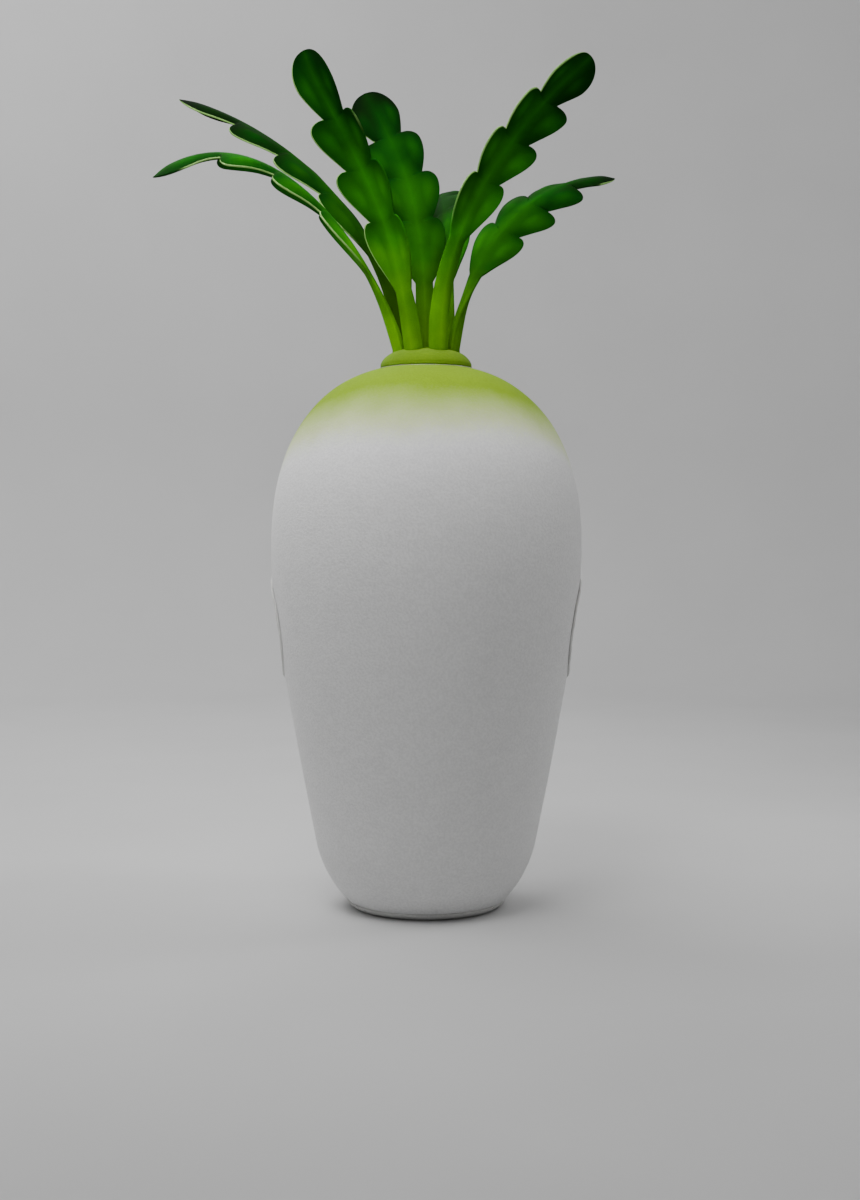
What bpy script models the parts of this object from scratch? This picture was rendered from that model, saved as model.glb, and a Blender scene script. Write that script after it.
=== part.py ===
"""Daikon radish costume body, standing on the open rim at its lower end.

A hollow foam shell in the form of a plump radish carries a fleece cover, a padded crown collar and
seven padded leaves. The shell is open below, has an armhole on each side, closes with a zip down
the back, and hangs from two webbing straps inside. Metres, +Z up, front towards -Y.
"""

import math
from collections import namedtuple

import bmesh
import bpy
from mathutils import Matrix, Vector

# The radish's own axis, placed so that the whole object is centred over the origin
AXIS_X = 0.085
AXIS_Y = -0.024

# Body outline, measured on the outside of the cover
BODY_RADIUS = 0.355
WIDEST_LEVEL = 0.810
DOME_TOP = 1.241
DOME_FULLNESS = 2.4      # exponent of the dome's superellipse; 2 is a plain ellipse
BELLY_LEVEL = 0.660      # the side stays near its full width down to here
TAPER_RADIUS = 0.2535    # end of the straight taper, where the bottom rounds in
TAPER_LEVEL = 0.152
TAPER_SLOPE = 0.188      # radius lost for each metre down
HEM_RADIUS = 0.1645
HEM_LEVEL = 0.003

# Walls
COVER_THICKNESS = 0.003
FOAM_WALL = 0.024
FIT_GAP = 0.0005         # between pieces that lie on each other
RIM_OUTER = 0.158        # flat foam ring that the body stands on
RIM_INNER = 0.138
TURN_STEPS = 44

# Armholes, one long oval cut through both sides
ARMHOLE_LEVEL = 0.640
ARMHOLE_HALF_HEIGHT = 0.100
ARMHOLE_HALF_WIDTH = 0.085

# Crown collar
COLLAR_RADIUS = 0.106
COLLAR_TOP = 1.2755
COLLAR_FLAT_RADIUS = 0.045
COLLAR_SIDE = 0.001      # straight side below the rounded edge

# Leaves
LEAF_COUNT = 7
LEAF_RING_RADIUS = 0.064
ROOT_DEPTH = 0.024
STALK_WIDTH = 0.038
STALK_THICKNESS = 0.028
SOCKET_CLEARANCE = 0.002
BLADE_THICKNESS = 0.013
EDGE_SHARE = 0.45        # edge thickness as a share of the thickness at the midrib
LOBE_SHEAR = 0.38        # how far a lobe leans towards the tip, for each half width

# Back zip
ZIP_WIDTH = 0.030
ZIP_THICKNESS = 0.0024
ZIP_TOP_LEVEL = 1.150
ZIP_LOW_LEVEL = 0.045
ZIP_LIFT = 0.0012        # clear of the cover's flat facets
SLIDER_SIZE = (0.014, 0.007, 0.026)

# Carrying straps
STRAP_WIDTH = 0.045
STRAP_THICKNESS = 0.003
STRAP_OFFSET = 0.115     # each side of the axis
STRAP_LEVEL = 0.880
STRAP_ANCHOR = 0.070     # length sewn flat against the wall
STRAP_SAG = 0.150

# A leaf's midrib is a cubic curve from its root on the ring to its tip. turn is the root's place on
# the ring in degrees from the front, tip is in metres from the axis and the rim, lean and pitch are
# the curve's slopes at its ends in degrees from the vertical and above the level, rise and arrive
# are the lengths of its end handles. roll turns the blade about its midrib where it leaves the
# stalk, and twist turns it further towards the tip, both in degrees. fold is how far the edges bend
# down for each half width, or up where it is negative, stalk is the share of the length below the
# blade, and width scales the blade.
Leaf = namedtuple("Leaf", "name turn tip lean rise pitch arrive roll twist fold stalk width")
RING_STEP = 360 / LEAF_COUNT
LEAVES = (
    Leaf(
        "leaf_1", -0.5 * RING_STEP, (-0.262, -0.215, 1.888),
        lean=9.5, rise=0.36, pitch=62, arrive=0.20, roll=-4, twist=0, fold=0.42, stalk=0.18, width=1.0,
    ),
    Leaf(
        "leaf_2", 0.5 * RING_STEP, (0.355, -0.200, 1.881),
        lean=-2, rise=0.27, pitch=33, arrive=0.20, roll=0, twist=0, fold=0.42, stalk=0.33, width=1.00,
    ),
    Leaf(
        "leaf_3", 1.5 * RING_STEP, (0.432, 0.030, 1.672),
        lean=8, rise=0.25, pitch=-3, arrive=0.165, roll=70, twist=-58, fold=0.30, stalk=0.29, width=1.15,
    ),
    Leaf(
        "leaf_4", 2.5 * RING_STEP, (0.040, 0.400, 1.715),
        lean=5, rise=0.28, pitch=15, arrive=0.25, roll=0, twist=0, fold=0.38, stalk=0.26, width=1.15,
    ),
    Leaf(
        "leaf_5", 3.5 * RING_STEP, (-0.146, 0.165, 1.902),
        lean=0, rise=0.34, pitch=57, arrive=0.23, roll=0, twist=0, fold=0.42, stalk=0.24, width=1.15,
    ),
    Leaf(
        "leaf_6", 4.5 * RING_STEP, (-0.583, 0.170, 1.888),
        lean=9, rise=0.34, pitch=17, arrive=0.24, roll=6, twist=0, fold=0.42, stalk=0.27, width=1.00,
    ),
    Leaf(
        "leaf_7", 5.5 * RING_STEP, (-0.600, -0.130, 1.638),
        lean=15, rise=0.25, pitch=-38, arrive=0.30, roll=-10, twist=0, fold=0.42, stalk=0.22, width=1.00,
    ),
)

# Lobes of a blade: where each ends as a share of the blade's length, its half width where it leaves
# the notch below it, and its full half width
Lobe = namedtuple("Lobe", "end notch peak")
LOBES = (
    Lobe(0.28, 0.019, 0.053),
    Lobe(0.50, 0.034, 0.065),
    Lobe(0.72, 0.038, 0.065),
)
TIP_NOTCH = 0.030
TIP_PEAK = 0.050
TIP_PEAK_SHARE = 0.50
TIP_BLUNTNESS = 2.5
TIP_END_HALF_WIDTH = 0.010
LOBE_PEAK_SHARE = 0.72
STALK_ROWS = 4
LOBE_ROW_SHARES = (0.0, 0.3, 0.6, 0.82, 0.92, 0.985)
TIP_ROW_SHARES = (0.0, 0.25, 0.5, 0.72, 0.88, 0.97, 1.0)
BLADE_COLUMNS = 4

# Colours, roughness and metallic value of each finish
FINISHES = {
    "fleece": ((0.80, 0.80, 0.78), 0.90, 0.0),
    "foam": ((0.62, 0.60, 0.52), 0.95, 0.0),
    "collar": ((0.36, 0.50, 0.05), 0.85, 0.0),
    "leaf": ((0.05, 0.26, 0.02), 0.75, 0.0),
    "zip": ((0.78, 0.78, 0.76), 0.70, 0.0),
    "slider": ((0.60, 0.60, 0.60), 0.35, 0.9),
    "webbing": ((0.03, 0.03, 0.03), 0.80, 0.0),
}


def clear_scene():
    for obj in list(bpy.data.objects):
        bpy.data.objects.remove(obj, do_unlink=True)


def new_collection(name):
    collection = bpy.data.collections.new(name)
    bpy.context.scene.collection.children.link(collection)
    return collection


def finish(name):
    """The Principled material of that name, made once."""
    if name in bpy.data.materials:
        return bpy.data.materials[name]
    colour, roughness, metallic = FINISHES[name]
    material = bpy.data.materials.new(name)
    material.use_nodes = True
    shader = material.node_tree.nodes["Principled BSDF"]
    shader.inputs["Base Color"].default_value = (*colour, 1.0)
    shader.inputs["Roughness"].default_value = roughness
    shader.inputs["Metallic"].default_value = metallic
    material.diffuse_color = (*colour, 1.0)
    return material


def add_object(name, mesh, collection, parent, material=None):
    obj = bpy.data.objects.new(name, mesh)
    collection.objects.link(obj)
    obj.parent = parent
    if material:
        mesh.materials.append(finish(material))
    return obj


def bezier(p0, p1, p2, p3, t):
    s = 1 - t
    return p0 * s**3 + p1 * (3 * s * s * t) + p2 * (3 * s * t * t) + p3 * t**3


def body_outline(dome_count=7, side_count=5, base_count=5):
    """(radius, height) points down the outside of the body, from the axis to the hem."""
    points = []
    for i in range(dome_count + 1):
        a = math.pi / 2 * i / dome_count
        radius = BODY_RADIUS * math.sin(a) ** (2 / DOME_FULLNESS)
        rise = (DOME_TOP - WIDEST_LEVEL) * max(0.0, math.cos(a)) ** (2 / DOME_FULLNESS)
        points.append(Vector((radius, WIDEST_LEVEL + rise)))
    side_handle = TAPER_LEVEL + 0.200
    side = (
        Vector((BODY_RADIUS, WIDEST_LEVEL)),
        Vector((BODY_RADIUS, BELLY_LEVEL)),
        Vector((TAPER_RADIUS + TAPER_SLOPE * 0.200, side_handle)),
        Vector((TAPER_RADIUS, TAPER_LEVEL)),
    )
    base = (
        side[3],
        Vector((TAPER_RADIUS - TAPER_SLOPE * 0.060, TAPER_LEVEL - 0.060)),
        Vector((HEM_RADIUS + 0.040, HEM_LEVEL + 0.028)),
        Vector((HEM_RADIUS, HEM_LEVEL)),
    )
    for handles, count in ((side, side_count), (base, base_count)):
        points += [bezier(*handles, i / count) for i in range(1, count + 1)]
    return points


def inset(points, depth):
    """The outline moved inwards by depth, square to itself."""
    moved = []
    last = len(points) - 1
    for i, point in enumerate(points):
        along = points[min(i + 1, last)] - points[max(i - 1, 0)]
        outward = Vector((-along.y, along.x)).normalized()
        if i == 0:
            outward = Vector((0, 1))
        moved.append(point - outward * depth)
    return moved


def turned(name, profile, collection, parent, material=None):
    """A solid of revolution. The profile runs from the axis, down its outer side and back."""
    mesh = bpy.data.meshes.new(name)
    edges = [(i, i + 1) for i in range(len(profile) - 1)]
    mesh.from_pydata([(p[0], 0, p[1]) for p in profile], edges, [])
    obj = add_object(name, mesh, collection, parent, material)
    screw = obj.modifiers.new("Turn", "SCREW")
    screw.steps = TURN_STEPS
    screw.render_steps = TURN_STEPS
    screw.use_merge_vertices = True
    screw.merge_threshold = 0.0001
    screw.use_smooth_shade = True
    return obj


def cut(obj, cutter, name):
    boolean = obj.modifiers.new(name, "BOOLEAN")
    boolean.operation = "DIFFERENCE"
    boolean.object = cutter


def as_cutter(obj):
    obj.hide_render = True
    obj.display_type = "WIRE"
    return obj


def armhole_cutter(cutters, axis):
    """An oval bar along X that leaves a hole in each side."""
    mesh = bpy.data.meshes.new("armhole_cutter")
    bm = bmesh.new()
    bmesh.ops.create_cone(
        bm, cap_ends=True, segments=28, radius1=1, radius2=1, depth=3 * BODY_RADIUS
    )
    bm.transform(Matrix.Rotation(math.pi / 2, 4, "Y"))
    bm.transform(Matrix.Diagonal((1, ARMHOLE_HALF_WIDTH, ARMHOLE_HALF_HEIGHT, 1)))
    bm.to_mesh(mesh)
    bm.free()
    cutter = as_cutter(add_object("armhole_cutter", mesh, cutters, axis))
    cutter.location = (0, 0, ARMHOLE_LEVEL)
    return cutter


def build_foam_shell(parts, axis, armholes):
    outline = body_outline()
    outer = inset(outline, COVER_THICKNESS + FIT_GAP)
    inner = inset(outline, COVER_THICKNESS + FIT_GAP + FOAM_WALL)
    rim = [Vector((RIM_OUTER, 0)), Vector((RIM_INNER, 0))]
    shell = turned("foam_shell", outer + rim + inner[::-1], parts, axis, "foam")
    cut(shell, armholes, "Armholes")
    return shell


def build_cover(parts, axis, armholes):
    outline = body_outline()
    inner = inset(outline, COVER_THICKNESS)
    cover = turned("fleece_cover", outline + inner[::-1], parts, axis, "fleece")
    cut(cover, armholes, "Armholes")
    return cover


def dome_level(radius):
    """Height of the cover's outside above a point near the axis."""
    share = 1 - (radius / BODY_RADIUS) ** DOME_FULLNESS
    return WIDEST_LEVEL + (DOME_TOP - WIDEST_LEVEL) * share ** (1 / DOME_FULLNESS)


def ring_place(turn):
    """Unit vector from the axis to a place on the leaf ring, turn degrees from the front."""
    a = math.radians(turn)
    return Vector((math.sin(a), -math.cos(a), 0))


def socket_cutter(leaf, cutters, axis):
    """An oval plug a little larger than the leaf's root."""
    mesh = bpy.data.meshes.new("socket_cutter")
    bm = bmesh.new()
    depth = ROOT_DEPTH + 0.003
    bmesh.ops.create_cone(
        bm, cap_ends=True, segments=20, radius1=1, radius2=1, depth=2 * depth
    )
    half_width = STALK_WIDTH / 2 + SOCKET_CLEARANCE
    half_thickness = STALK_THICKNESS / 2 + SOCKET_CLEARANCE
    bm.transform(Matrix.Diagonal((half_width, half_thickness, 1, 1)))
    bm.to_mesh(mesh)
    bm.free()
    cutter = as_cutter(add_object(f"{leaf.name}_socket", mesh, cutters, axis))
    place = ring_place(leaf.turn) * LEAF_RING_RADIUS
    cutter.location = (place.x, place.y, COLLAR_TOP)
    cutter.rotation_euler = (0, 0, math.radians(leaf.turn))
    return cutter


def build_collar(parts, cutters, axis):
    """A padded disc with a rounded edge, hollowed below to sit on the dome, with leaf sockets."""
    base = dome_level(COLLAR_RADIUS) + FIT_GAP
    round_low = base + COLLAR_SIDE
    profile = [Vector((0, COLLAR_TOP))]
    for i in range(6):
        a = math.pi / 2 * i / 5
        profile.append(
            Vector(
                (
                    COLLAR_FLAT_RADIUS + (COLLAR_RADIUS - COLLAR_FLAT_RADIUS) * math.sin(a),
                    round_low + (COLLAR_TOP - round_low) * math.cos(a),
                )
            )
        )
    for i in range(5):
        radius = COLLAR_RADIUS * (1 - i / 4)
        profile.append(Vector((radius, dome_level(radius) + FIT_GAP)))
    collar = turned("crown_collar", profile, parts, axis, "collar")
    for leaf in LEAVES:
        cut(collar, socket_cutter(leaf, cutters, axis), leaf.name)
    return collar


def half_width(leaf, share):
    """Half width of a leaf at a share of its length."""
    if share <= leaf.stalk:
        return STALK_WIDTH / 2
    share = (share - leaf.stalk) / (1 - leaf.stalk)
    start = 0
    notches = [lobe.notch for lobe in LOBES] + [TIP_NOTCH]
    for lobe, following in zip(LOBES, notches[1:]):
        if share < lobe.end:
            u = (share - start) / (lobe.end - start)
            if u <= LOBE_PEAK_SHARE:
                swell = math.sin(math.pi / 2 * u / LOBE_PEAK_SHARE)
                return leaf.width * (lobe.notch + (lobe.peak - lobe.notch) * swell)
            u = (u - LOBE_PEAK_SHARE) / (1 - LOBE_PEAK_SHARE)
            return leaf.width * (following + (lobe.peak - following) * math.sqrt(1 - u * u))
        start = lobe.end
    u = (share - start) / (1 - start)
    if u <= TIP_PEAK_SHARE:
        swell = math.sin(math.pi / 2 * u / TIP_PEAK_SHARE)
        return leaf.width * (TIP_NOTCH + (TIP_PEAK - TIP_NOTCH) * swell)
    u = (u - TIP_PEAK_SHARE) / (1 - TIP_PEAK_SHARE)
    end_shape = max(0.0, 1 - u**TIP_BLUNTNESS) ** (1 / TIP_BLUNTNESS)
    return max(TIP_END_HALF_WIDTH, leaf.width * TIP_PEAK * end_shape)


def leaf_rows(leaf):
    """Shares of the leaf's length where it has a row of points."""
    blade = []
    start = 0
    for lobe in LOBES:
        blade += [start + (lobe.end - start) * u for u in LOBE_ROW_SHARES]
        start = lobe.end
    blade += [start + (1 - start) * u for u in TIP_ROW_SHARES]
    stalk = [leaf.stalk * i / STALK_ROWS for i in range(STALK_ROWS)]
    return stalk + [leaf.stalk + (1 - leaf.stalk) * share for share in blade]


def midrib_handles(leaf):
    root = ring_place(leaf.turn) * LEAF_RING_RADIUS + Vector((0, 0, COLLAR_TOP))
    tip = Vector(leaf.tip)
    level = Vector((tip.x - root.x, tip.y - root.y, 0)).normalized()
    lean, pitch = math.radians(leaf.lean), math.radians(leaf.pitch)
    leaving = level * math.sin(lean) + Vector((0, 0, math.cos(lean)))
    arriving = level * math.cos(pitch) + Vector((0, 0, math.sin(pitch)))
    return root, root + leaving * leaf.rise, tip - arriving * leaf.arrive, tip


def smooth_step(low, high, value):
    t = min(1.0, max(0.0, (value - low) / (high - low)))
    return t * t * (3 - 2 * t)


def curve_position(handles, share):
    """The curve's parameter at a share of its length."""
    count = 80
    points = [bezier(*handles, i / count) for i in range(count + 1)]
    lengths = [(b - a).length for a, b in zip(points, points[1:])]
    left = share * sum(lengths)
    for i, length in enumerate(lengths):
        if left <= length:
            return (i + left / length) / count
        left -= length
    return 1.0


def midrib_frame(leaf, handles, side, share):
    """Place, direction, sideways and inward vectors at a share of the leaf's length."""
    step = 0.01
    t = curve_position(handles, share)
    place = bezier(*handles, t)
    ahead = bezier(*handles, min(1, t + step)) - bezier(*handles, max(0, t - step))
    ahead.normalize()
    across = (side - ahead * side.dot(ahead)).normalized()
    roll = leaf.roll * smooth_step(0.05, 0.40, share) + leaf.twist * smooth_step(0.45, 1.0, share)
    roll = math.radians(roll)
    across = Matrix.Rotation(roll, 3, ahead) @ across
    return place, ahead, across, ahead.cross(across)


def leaf_point(leaf, handles, side, share, s):
    """A point of the leaf's middle surface; s runs across it from -1 to 1."""
    place, ahead, across, inward = midrib_frame(leaf, handles, side, share)
    blade = smooth_step(0.6 * leaf.stalk, 1.3 * leaf.stalk, share)
    tip_fade = 1 - smooth_step(0.82, 0.97, share)
    width = half_width(leaf, share)
    forward = ahead * (LOBE_SHEAR * blade * tip_fade * abs(s) * width)
    return place + across * (s * width) + forward - inward * (leaf.fold * blade * s * s * width)


def leaf_thickness(leaf, share, s):
    """Thickness as a share of the stalk's."""
    blade = smooth_step(0.0, 1.5 * leaf.stalk, share)
    mid = 1 + (BLADE_THICKNESS / STALK_THICKNESS - 1) * blade
    oval = math.sqrt(max(0.0, 1 - (0.93 * s) ** 2))
    flat = 1 - (1 - EDGE_SHARE) * s * s
    return mid * (oval + (flat - oval) * blade)


def build_leaf(leaf, parts, axis):
    """A grid bent along the midrib and cut to the lobed width, then thickened."""
    rows = leaf_rows(leaf)
    mesh = bpy.data.meshes.new(leaf.name)
    bm = bmesh.new()
    bmesh.ops.create_grid(bm, x_segments=BLADE_COLUMNS, y_segments=len(rows), size=1)
    handles = midrib_handles(leaf)
    outward = ring_place(leaf.turn)
    side = Vector((-outward.y, outward.x, 0))
    weights = {}
    for vert in bm.verts:
        row = round((vert.co.y + 1) / 2 * len(rows))
        s = vert.co.x
        if row == 0:
            vert.co = leaf_point(leaf, handles, side, 0, s) - Vector((0, 0, ROOT_DEPTH))
            weights[vert.index] = leaf_thickness(leaf, 0, s)
        else:
            share = rows[row - 1]
            vert.co = leaf_point(leaf, handles, side, share, s)
            weights[vert.index] = leaf_thickness(leaf, share, s)
    bmesh.ops.triangulate(bm, faces=bm.faces[:], quad_method="FIXED")
    bm.to_mesh(mesh)
    bm.free()
    obj = add_object(leaf.name, mesh, parts, axis, "leaf")
    group = obj.vertex_groups.new(name="thickness")
    for index, weight in weights.items():
        group.add([index], weight, "REPLACE")
    solidify = obj.modifiers.new("Padding", "SOLIDIFY")
    solidify.thickness = STALK_THICKNESS
    solidify.offset = 0
    solidify.vertex_group = group.name
    mesh.shade_smooth()
    return obj


def outline_between(low, high):
    """The cover's outline from a high level to a low one, with its outward direction."""
    outline = body_outline()
    stations = []
    for i in range(1, len(outline)):
        above, below = outline[i - 1], outline[i]
        along = (below - above).normalized()
        outward = Vector((-along.y, along.x))
        for level in (high, low):
            if below.y < level <= above.y:
                t = (above.y - level) / (above.y - below.y)
                stations.append((above.lerp(below, t), outward))
                if level == low:
                    return stations
        if low < below.y < high:
            ahead = (outline[i + 1] - below).normalized()
            stations.append((below, (outward + Vector((-ahead.y, ahead.x))).normalized()))
    return stations


def ribbon(name, lines, parts, axis, thickness, material):
    """A strip between two lines of points, thickened both ways."""
    mesh = bpy.data.meshes.new(name)
    bm = bmesh.new()
    bmesh.ops.create_grid(bm, x_segments=1, y_segments=len(lines) - 1, size=1)
    for vert in bm.verts:
        row = round((vert.co.y + 1) / 2 * (len(lines) - 1))
        vert.co = lines[row][0 if vert.co.x < 0 else 1]
    bmesh.ops.triangulate(bm, faces=bm.faces[:], quad_method="FIXED")
    bm.to_mesh(mesh)
    bm.free()
    obj = add_object(name, mesh, parts, axis, material)
    solidify = obj.modifiers.new("Thickness", "SOLIDIFY")
    solidify.thickness = thickness
    solidify.offset = 0
    return obj


def build_zip(parts, axis):
    """Zip tape down the middle of the back, with its slider closed at the top."""
    lines = []
    for point, outward in outline_between(ZIP_LOW_LEVEL, ZIP_TOP_LEVEL):
        place = point + outward * (ZIP_LIFT + ZIP_THICKNESS / 2)
        lines.append(
            (Vector((-ZIP_WIDTH / 2, place.x, place.y)), Vector((ZIP_WIDTH / 2, place.x, place.y)))
        )
    ribbon("zip_tape", lines, parts, axis, ZIP_THICKNESS, "zip")

    point, outward = outline_between(ZIP_LOW_LEVEL, ZIP_TOP_LEVEL - SLIDER_SIZE[2])[0]
    lift = ZIP_LIFT + ZIP_THICKNESS + FIT_GAP + SLIDER_SIZE[1] / 2
    place = point + outward * lift
    mesh = bpy.data.meshes.new("zip_slider")
    bm = bmesh.new()
    bmesh.ops.create_cube(bm, size=1)
    bm.transform(Matrix.Diagonal((*SLIDER_SIZE, 1)))
    bm.to_mesh(mesh)
    bm.free()
    slider = add_object("zip_slider", mesh, parts, axis, "slider")
    slider.location = (0, place.x, place.y)
    slider.rotation_euler = (math.atan2(outward.y, outward.x), 0, 0)
    bevel = slider.modifiers.new("Rounded edges", "BEVEL")
    bevel.width = 0.002
    bevel.segments = 2


def wall_radius(level):
    """Radius of the shell's inner wall at a level, at the middle of a facet."""
    wall = inset(body_outline(), COVER_THICKNESS + FIT_GAP + FOAM_WALL)
    for above, below in zip(wall, wall[1:]):
        if below.y < level <= above.y:
            radius = above.lerp(below, (above.y - level) / (above.y - below.y)).x
            return radius * math.cos(math.pi / TURN_STEPS)


def strap_line(across):
    """A strap's edge: up the front wall's anchor, down in a slack curve, to the back wall."""
    points = []
    count = 12
    clear = FIT_GAP + 0.7 * STRAP_THICKNESS
    for i in range(-1, count + 2):
        u = min(1, max(-1, -1 + 2 * i / count))
        level = STRAP_LEVEL - STRAP_SAG * (1 - u * u)
        if i in (-1, count + 1):
            level = STRAP_LEVEL + STRAP_ANCHOR
        wall = max(STRAP_LEVEL, level)
        depth = math.sqrt((wall_radius(wall) - clear) ** 2 - across**2)
        points.append(Vector((across, depth * u, level)))
    return points


def build_strap(name, offset, parts, axis):
    left = strap_line(offset - STRAP_WIDTH / 2)
    right = strap_line(offset + STRAP_WIDTH / 2)
    return ribbon(name, list(zip(left, right)), parts, axis, STRAP_THICKNESS, "webbing")


def build_radish():
    clear_scene()
    parts = new_collection("daikon_radish_costume_body")
    cutters = new_collection("cutters")
    axis = bpy.data.objects.new("radish_axis", None)
    parts.objects.link(axis)
    axis.location = (AXIS_X, AXIS_Y, 0)

    armholes = armhole_cutter(cutters, axis)
    build_foam_shell(parts, axis, armholes)
    build_cover(parts, axis, armholes)
    build_collar(parts, cutters, axis)
    for leaf in LEAVES:
        build_leaf(leaf, parts, axis)
    build_zip(parts, axis)
    build_strap("strap_left", -STRAP_OFFSET, parts, axis)
    build_strap("strap_right", STRAP_OFFSET, parts, axis)


build_radish()
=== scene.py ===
"""The look of the daikon radish costume body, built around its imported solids.

Metres, +Z up, front towards -Y. Every piece rides on the one body. The bindings, linings, stitches and
zip teeth are added to those.
"""

import math
from collections import namedtuple

import bmesh
import bpy
from mathutils import Matrix, Vector, noise
from mathutils.kdtree import KDTree


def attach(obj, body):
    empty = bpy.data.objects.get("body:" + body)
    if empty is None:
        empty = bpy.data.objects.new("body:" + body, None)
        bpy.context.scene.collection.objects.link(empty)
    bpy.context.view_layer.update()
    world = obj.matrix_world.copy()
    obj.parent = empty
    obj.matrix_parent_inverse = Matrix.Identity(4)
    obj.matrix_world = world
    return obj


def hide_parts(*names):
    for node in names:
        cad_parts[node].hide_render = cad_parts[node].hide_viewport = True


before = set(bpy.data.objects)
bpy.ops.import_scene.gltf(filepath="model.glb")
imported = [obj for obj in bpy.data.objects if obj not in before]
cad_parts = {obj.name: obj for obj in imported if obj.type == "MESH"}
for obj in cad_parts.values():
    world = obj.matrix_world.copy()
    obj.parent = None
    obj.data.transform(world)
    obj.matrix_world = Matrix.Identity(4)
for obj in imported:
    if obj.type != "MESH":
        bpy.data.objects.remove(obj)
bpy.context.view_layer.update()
BODY = "root"

# The radish's own axis, and the outline of its cover, as in the solids
AXIS = Vector((0.085, -0.024, 0.0))
BODY_RADIUS = 0.355
WIDEST_LEVEL = 0.810
DOME_TOP = 1.241
DOME_FULLNESS = 2.4
BELLY_LEVEL = 0.660
TAPER_RADIUS = 0.2535
TAPER_LEVEL = 0.152
TAPER_SLOPE = 0.188
HEM_RADIUS = 0.1645
HEM_LEVEL = 0.003
SIDE_HANDLE = 0.200
BASE_HANDLE = 0.060
HEM_HANDLE = (0.040, 0.028)
COVER_THICKNESS = 0.003
FOAM_WALL = 0.024
FIT_GAP = 0.0005
RIM_OUTER = 0.158
RIM_INNER = 0.138

# Levels where the spray on the shoulder starts and is full. It reaches lower at the sides and back
# than at the front, by SPRAY_DROP over the depths of SPRAY_DROP_DEPTHS, and ends unevenly.
SPRAY_LOW = 1.067
SPRAY_HIGH = 1.225
SPRAY_DROP = 0.05
SPRAY_DROP_DEPTHS = (-0.30, -0.02)
SPRAY_UNEVENNESS = 0.05
SPRAY_GRAIN = 0.012
PLAIN_SHEEN = 0.14
SPRAYED_SHEEN = 0.03

# The cover's relief: soft unevenness, the side seams with their puckers, and the welts of the zip.
# A WIDTH is that of the rounded hill or groove that bump_at makes.
TURN_COUNT = 150
NEAR_SEAM_DEGREES = (0.35, 0.7, 1.1, 1.6, 2.3, 3.1, 4.0)
BROAD_UNEVENNESS = 0.0014
SMALL_UNEVENNESS = 0.0007
SEAM_DEPTH = 0.0016
SEAM_WIDTH = 0.0035
PUCKER_HEIGHT = 0.0005
PUCKER_PITCH = 0.019
PUCKER_PLACE = 0.010
PUCKER_WIDTH = 0.009
WELT_HEIGHT = 0.0022
WELT_PLACE = 0.0215
WELT_WIDTH = 0.0048
ZIP_DIP = 0.0010

# Cloth simulation of the padded fabric: SWELL is the most that a point moves. The cover is held near
# its hem, under the collar, along the zip and the side seams, and round the armholes.
CLOTH_PRESSURE = 4
CLOTH_FRAMES = 20
COVER_SWELL = 0.0035
COLLAR_SWELL = 0.0020
HELD_HEM = 0.040
HELD_CROWN = 0.010
HELD_ZIP = 0.032
HELD_SEAM = 0.003
HELD_OVAL = 1.22

# The pitch of stitches, in lengths of one
STITCH_SPACING = 1.35

ARMHOLE_LEVEL = 0.640
ARMHOLE_HALF_HEIGHT = 0.100
ARMHOLE_HALF_WIDTH = 0.085

COLLAR_RADIUS = 0.106
COLLAR_TOP = 1.2755
COLLAR_FLAT_RADIUS = 0.045
COLLAR_SIDE = 0.001
COLLAR_SIDES = 120
COLLAR_VOXEL = 0.0035
CREASE_DEPTH = 0.0016

LEAF_COUNT = 7
LEAF_RING_RADIUS = 0.064
ROOT_DEPTH = 0.022
STALK_WIDTH = 0.038
STALK_THICKNESS = 0.028
BLADE_THICKNESS = 0.0125
EDGE_HALF_THICKNESS = 0.0022
LOBE_SHEAR = 0.38
VALLEY_DEPTH = 0.0026
HILL_HEIGHT = 0.0022
RIB_HEIGHT = 0.0032
STALK_ROWS = 26
LOBE_ROWS = 26
TIP_ROWS = 34
ACROSS_COUNT = 26
EDGE_TURNS = (0.25, 0.5, 0.75)

# As in the solids, with a brightness for each leaf: painted light and shade, the leaf's colour made lighter
# or darker for how brightly it is lit
Leaf = namedtuple(
    "Leaf", "name turn tip lean rise pitch arrive stalk shade fold width roll twist",
    defaults=(0.42, 1.0, 0, 0),
)
RING_STEP = 360 / LEAF_COUNT
LEAVES = (
    Leaf(
        "leaf_1", -0.5 * RING_STEP, (-0.262, -0.215, 1.888),
        lean=9.5, rise=0.36, pitch=62, arrive=0.20, stalk=0.18, shade=0.86, roll=-4,
    ),
    Leaf(
        "leaf_2", 0.5 * RING_STEP, (0.355, -0.200, 1.881),
        lean=-2, rise=0.27, pitch=33, arrive=0.20, stalk=0.33, shade=1.04,
    ),
    Leaf(
        "leaf_3", 1.5 * RING_STEP, (0.432, 0.030, 1.672),
        lean=8, rise=0.25, pitch=-3, arrive=0.165, stalk=0.29, shade=0.58, fold=0.30, width=1.15,
        roll=70, twist=-58,
    ),
    Leaf(
        "leaf_4", 2.5 * RING_STEP, (0.040, 0.400, 1.715),
        lean=5, rise=0.28, pitch=15, arrive=0.25, stalk=0.26, shade=0.6, fold=0.38, width=1.15,
    ),
    Leaf(
        "leaf_5", 3.5 * RING_STEP, (-0.146, 0.165, 1.902),
        lean=0, rise=0.34, pitch=57, arrive=0.23, stalk=0.24, shade=0.48, width=1.15,
    ),
    Leaf(
        "leaf_6", 4.5 * RING_STEP, (-0.583, 0.170, 1.888),
        lean=9, rise=0.34, pitch=17, arrive=0.24, stalk=0.27, shade=0.36, roll=6,
    ),
    Leaf(
        "leaf_7", 5.5 * RING_STEP, (-0.600, -0.130, 1.638),
        lean=15, rise=0.25, pitch=-38, arrive=0.30, stalk=0.22, shade=1.0, roll=-10,
    ),
)
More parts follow.
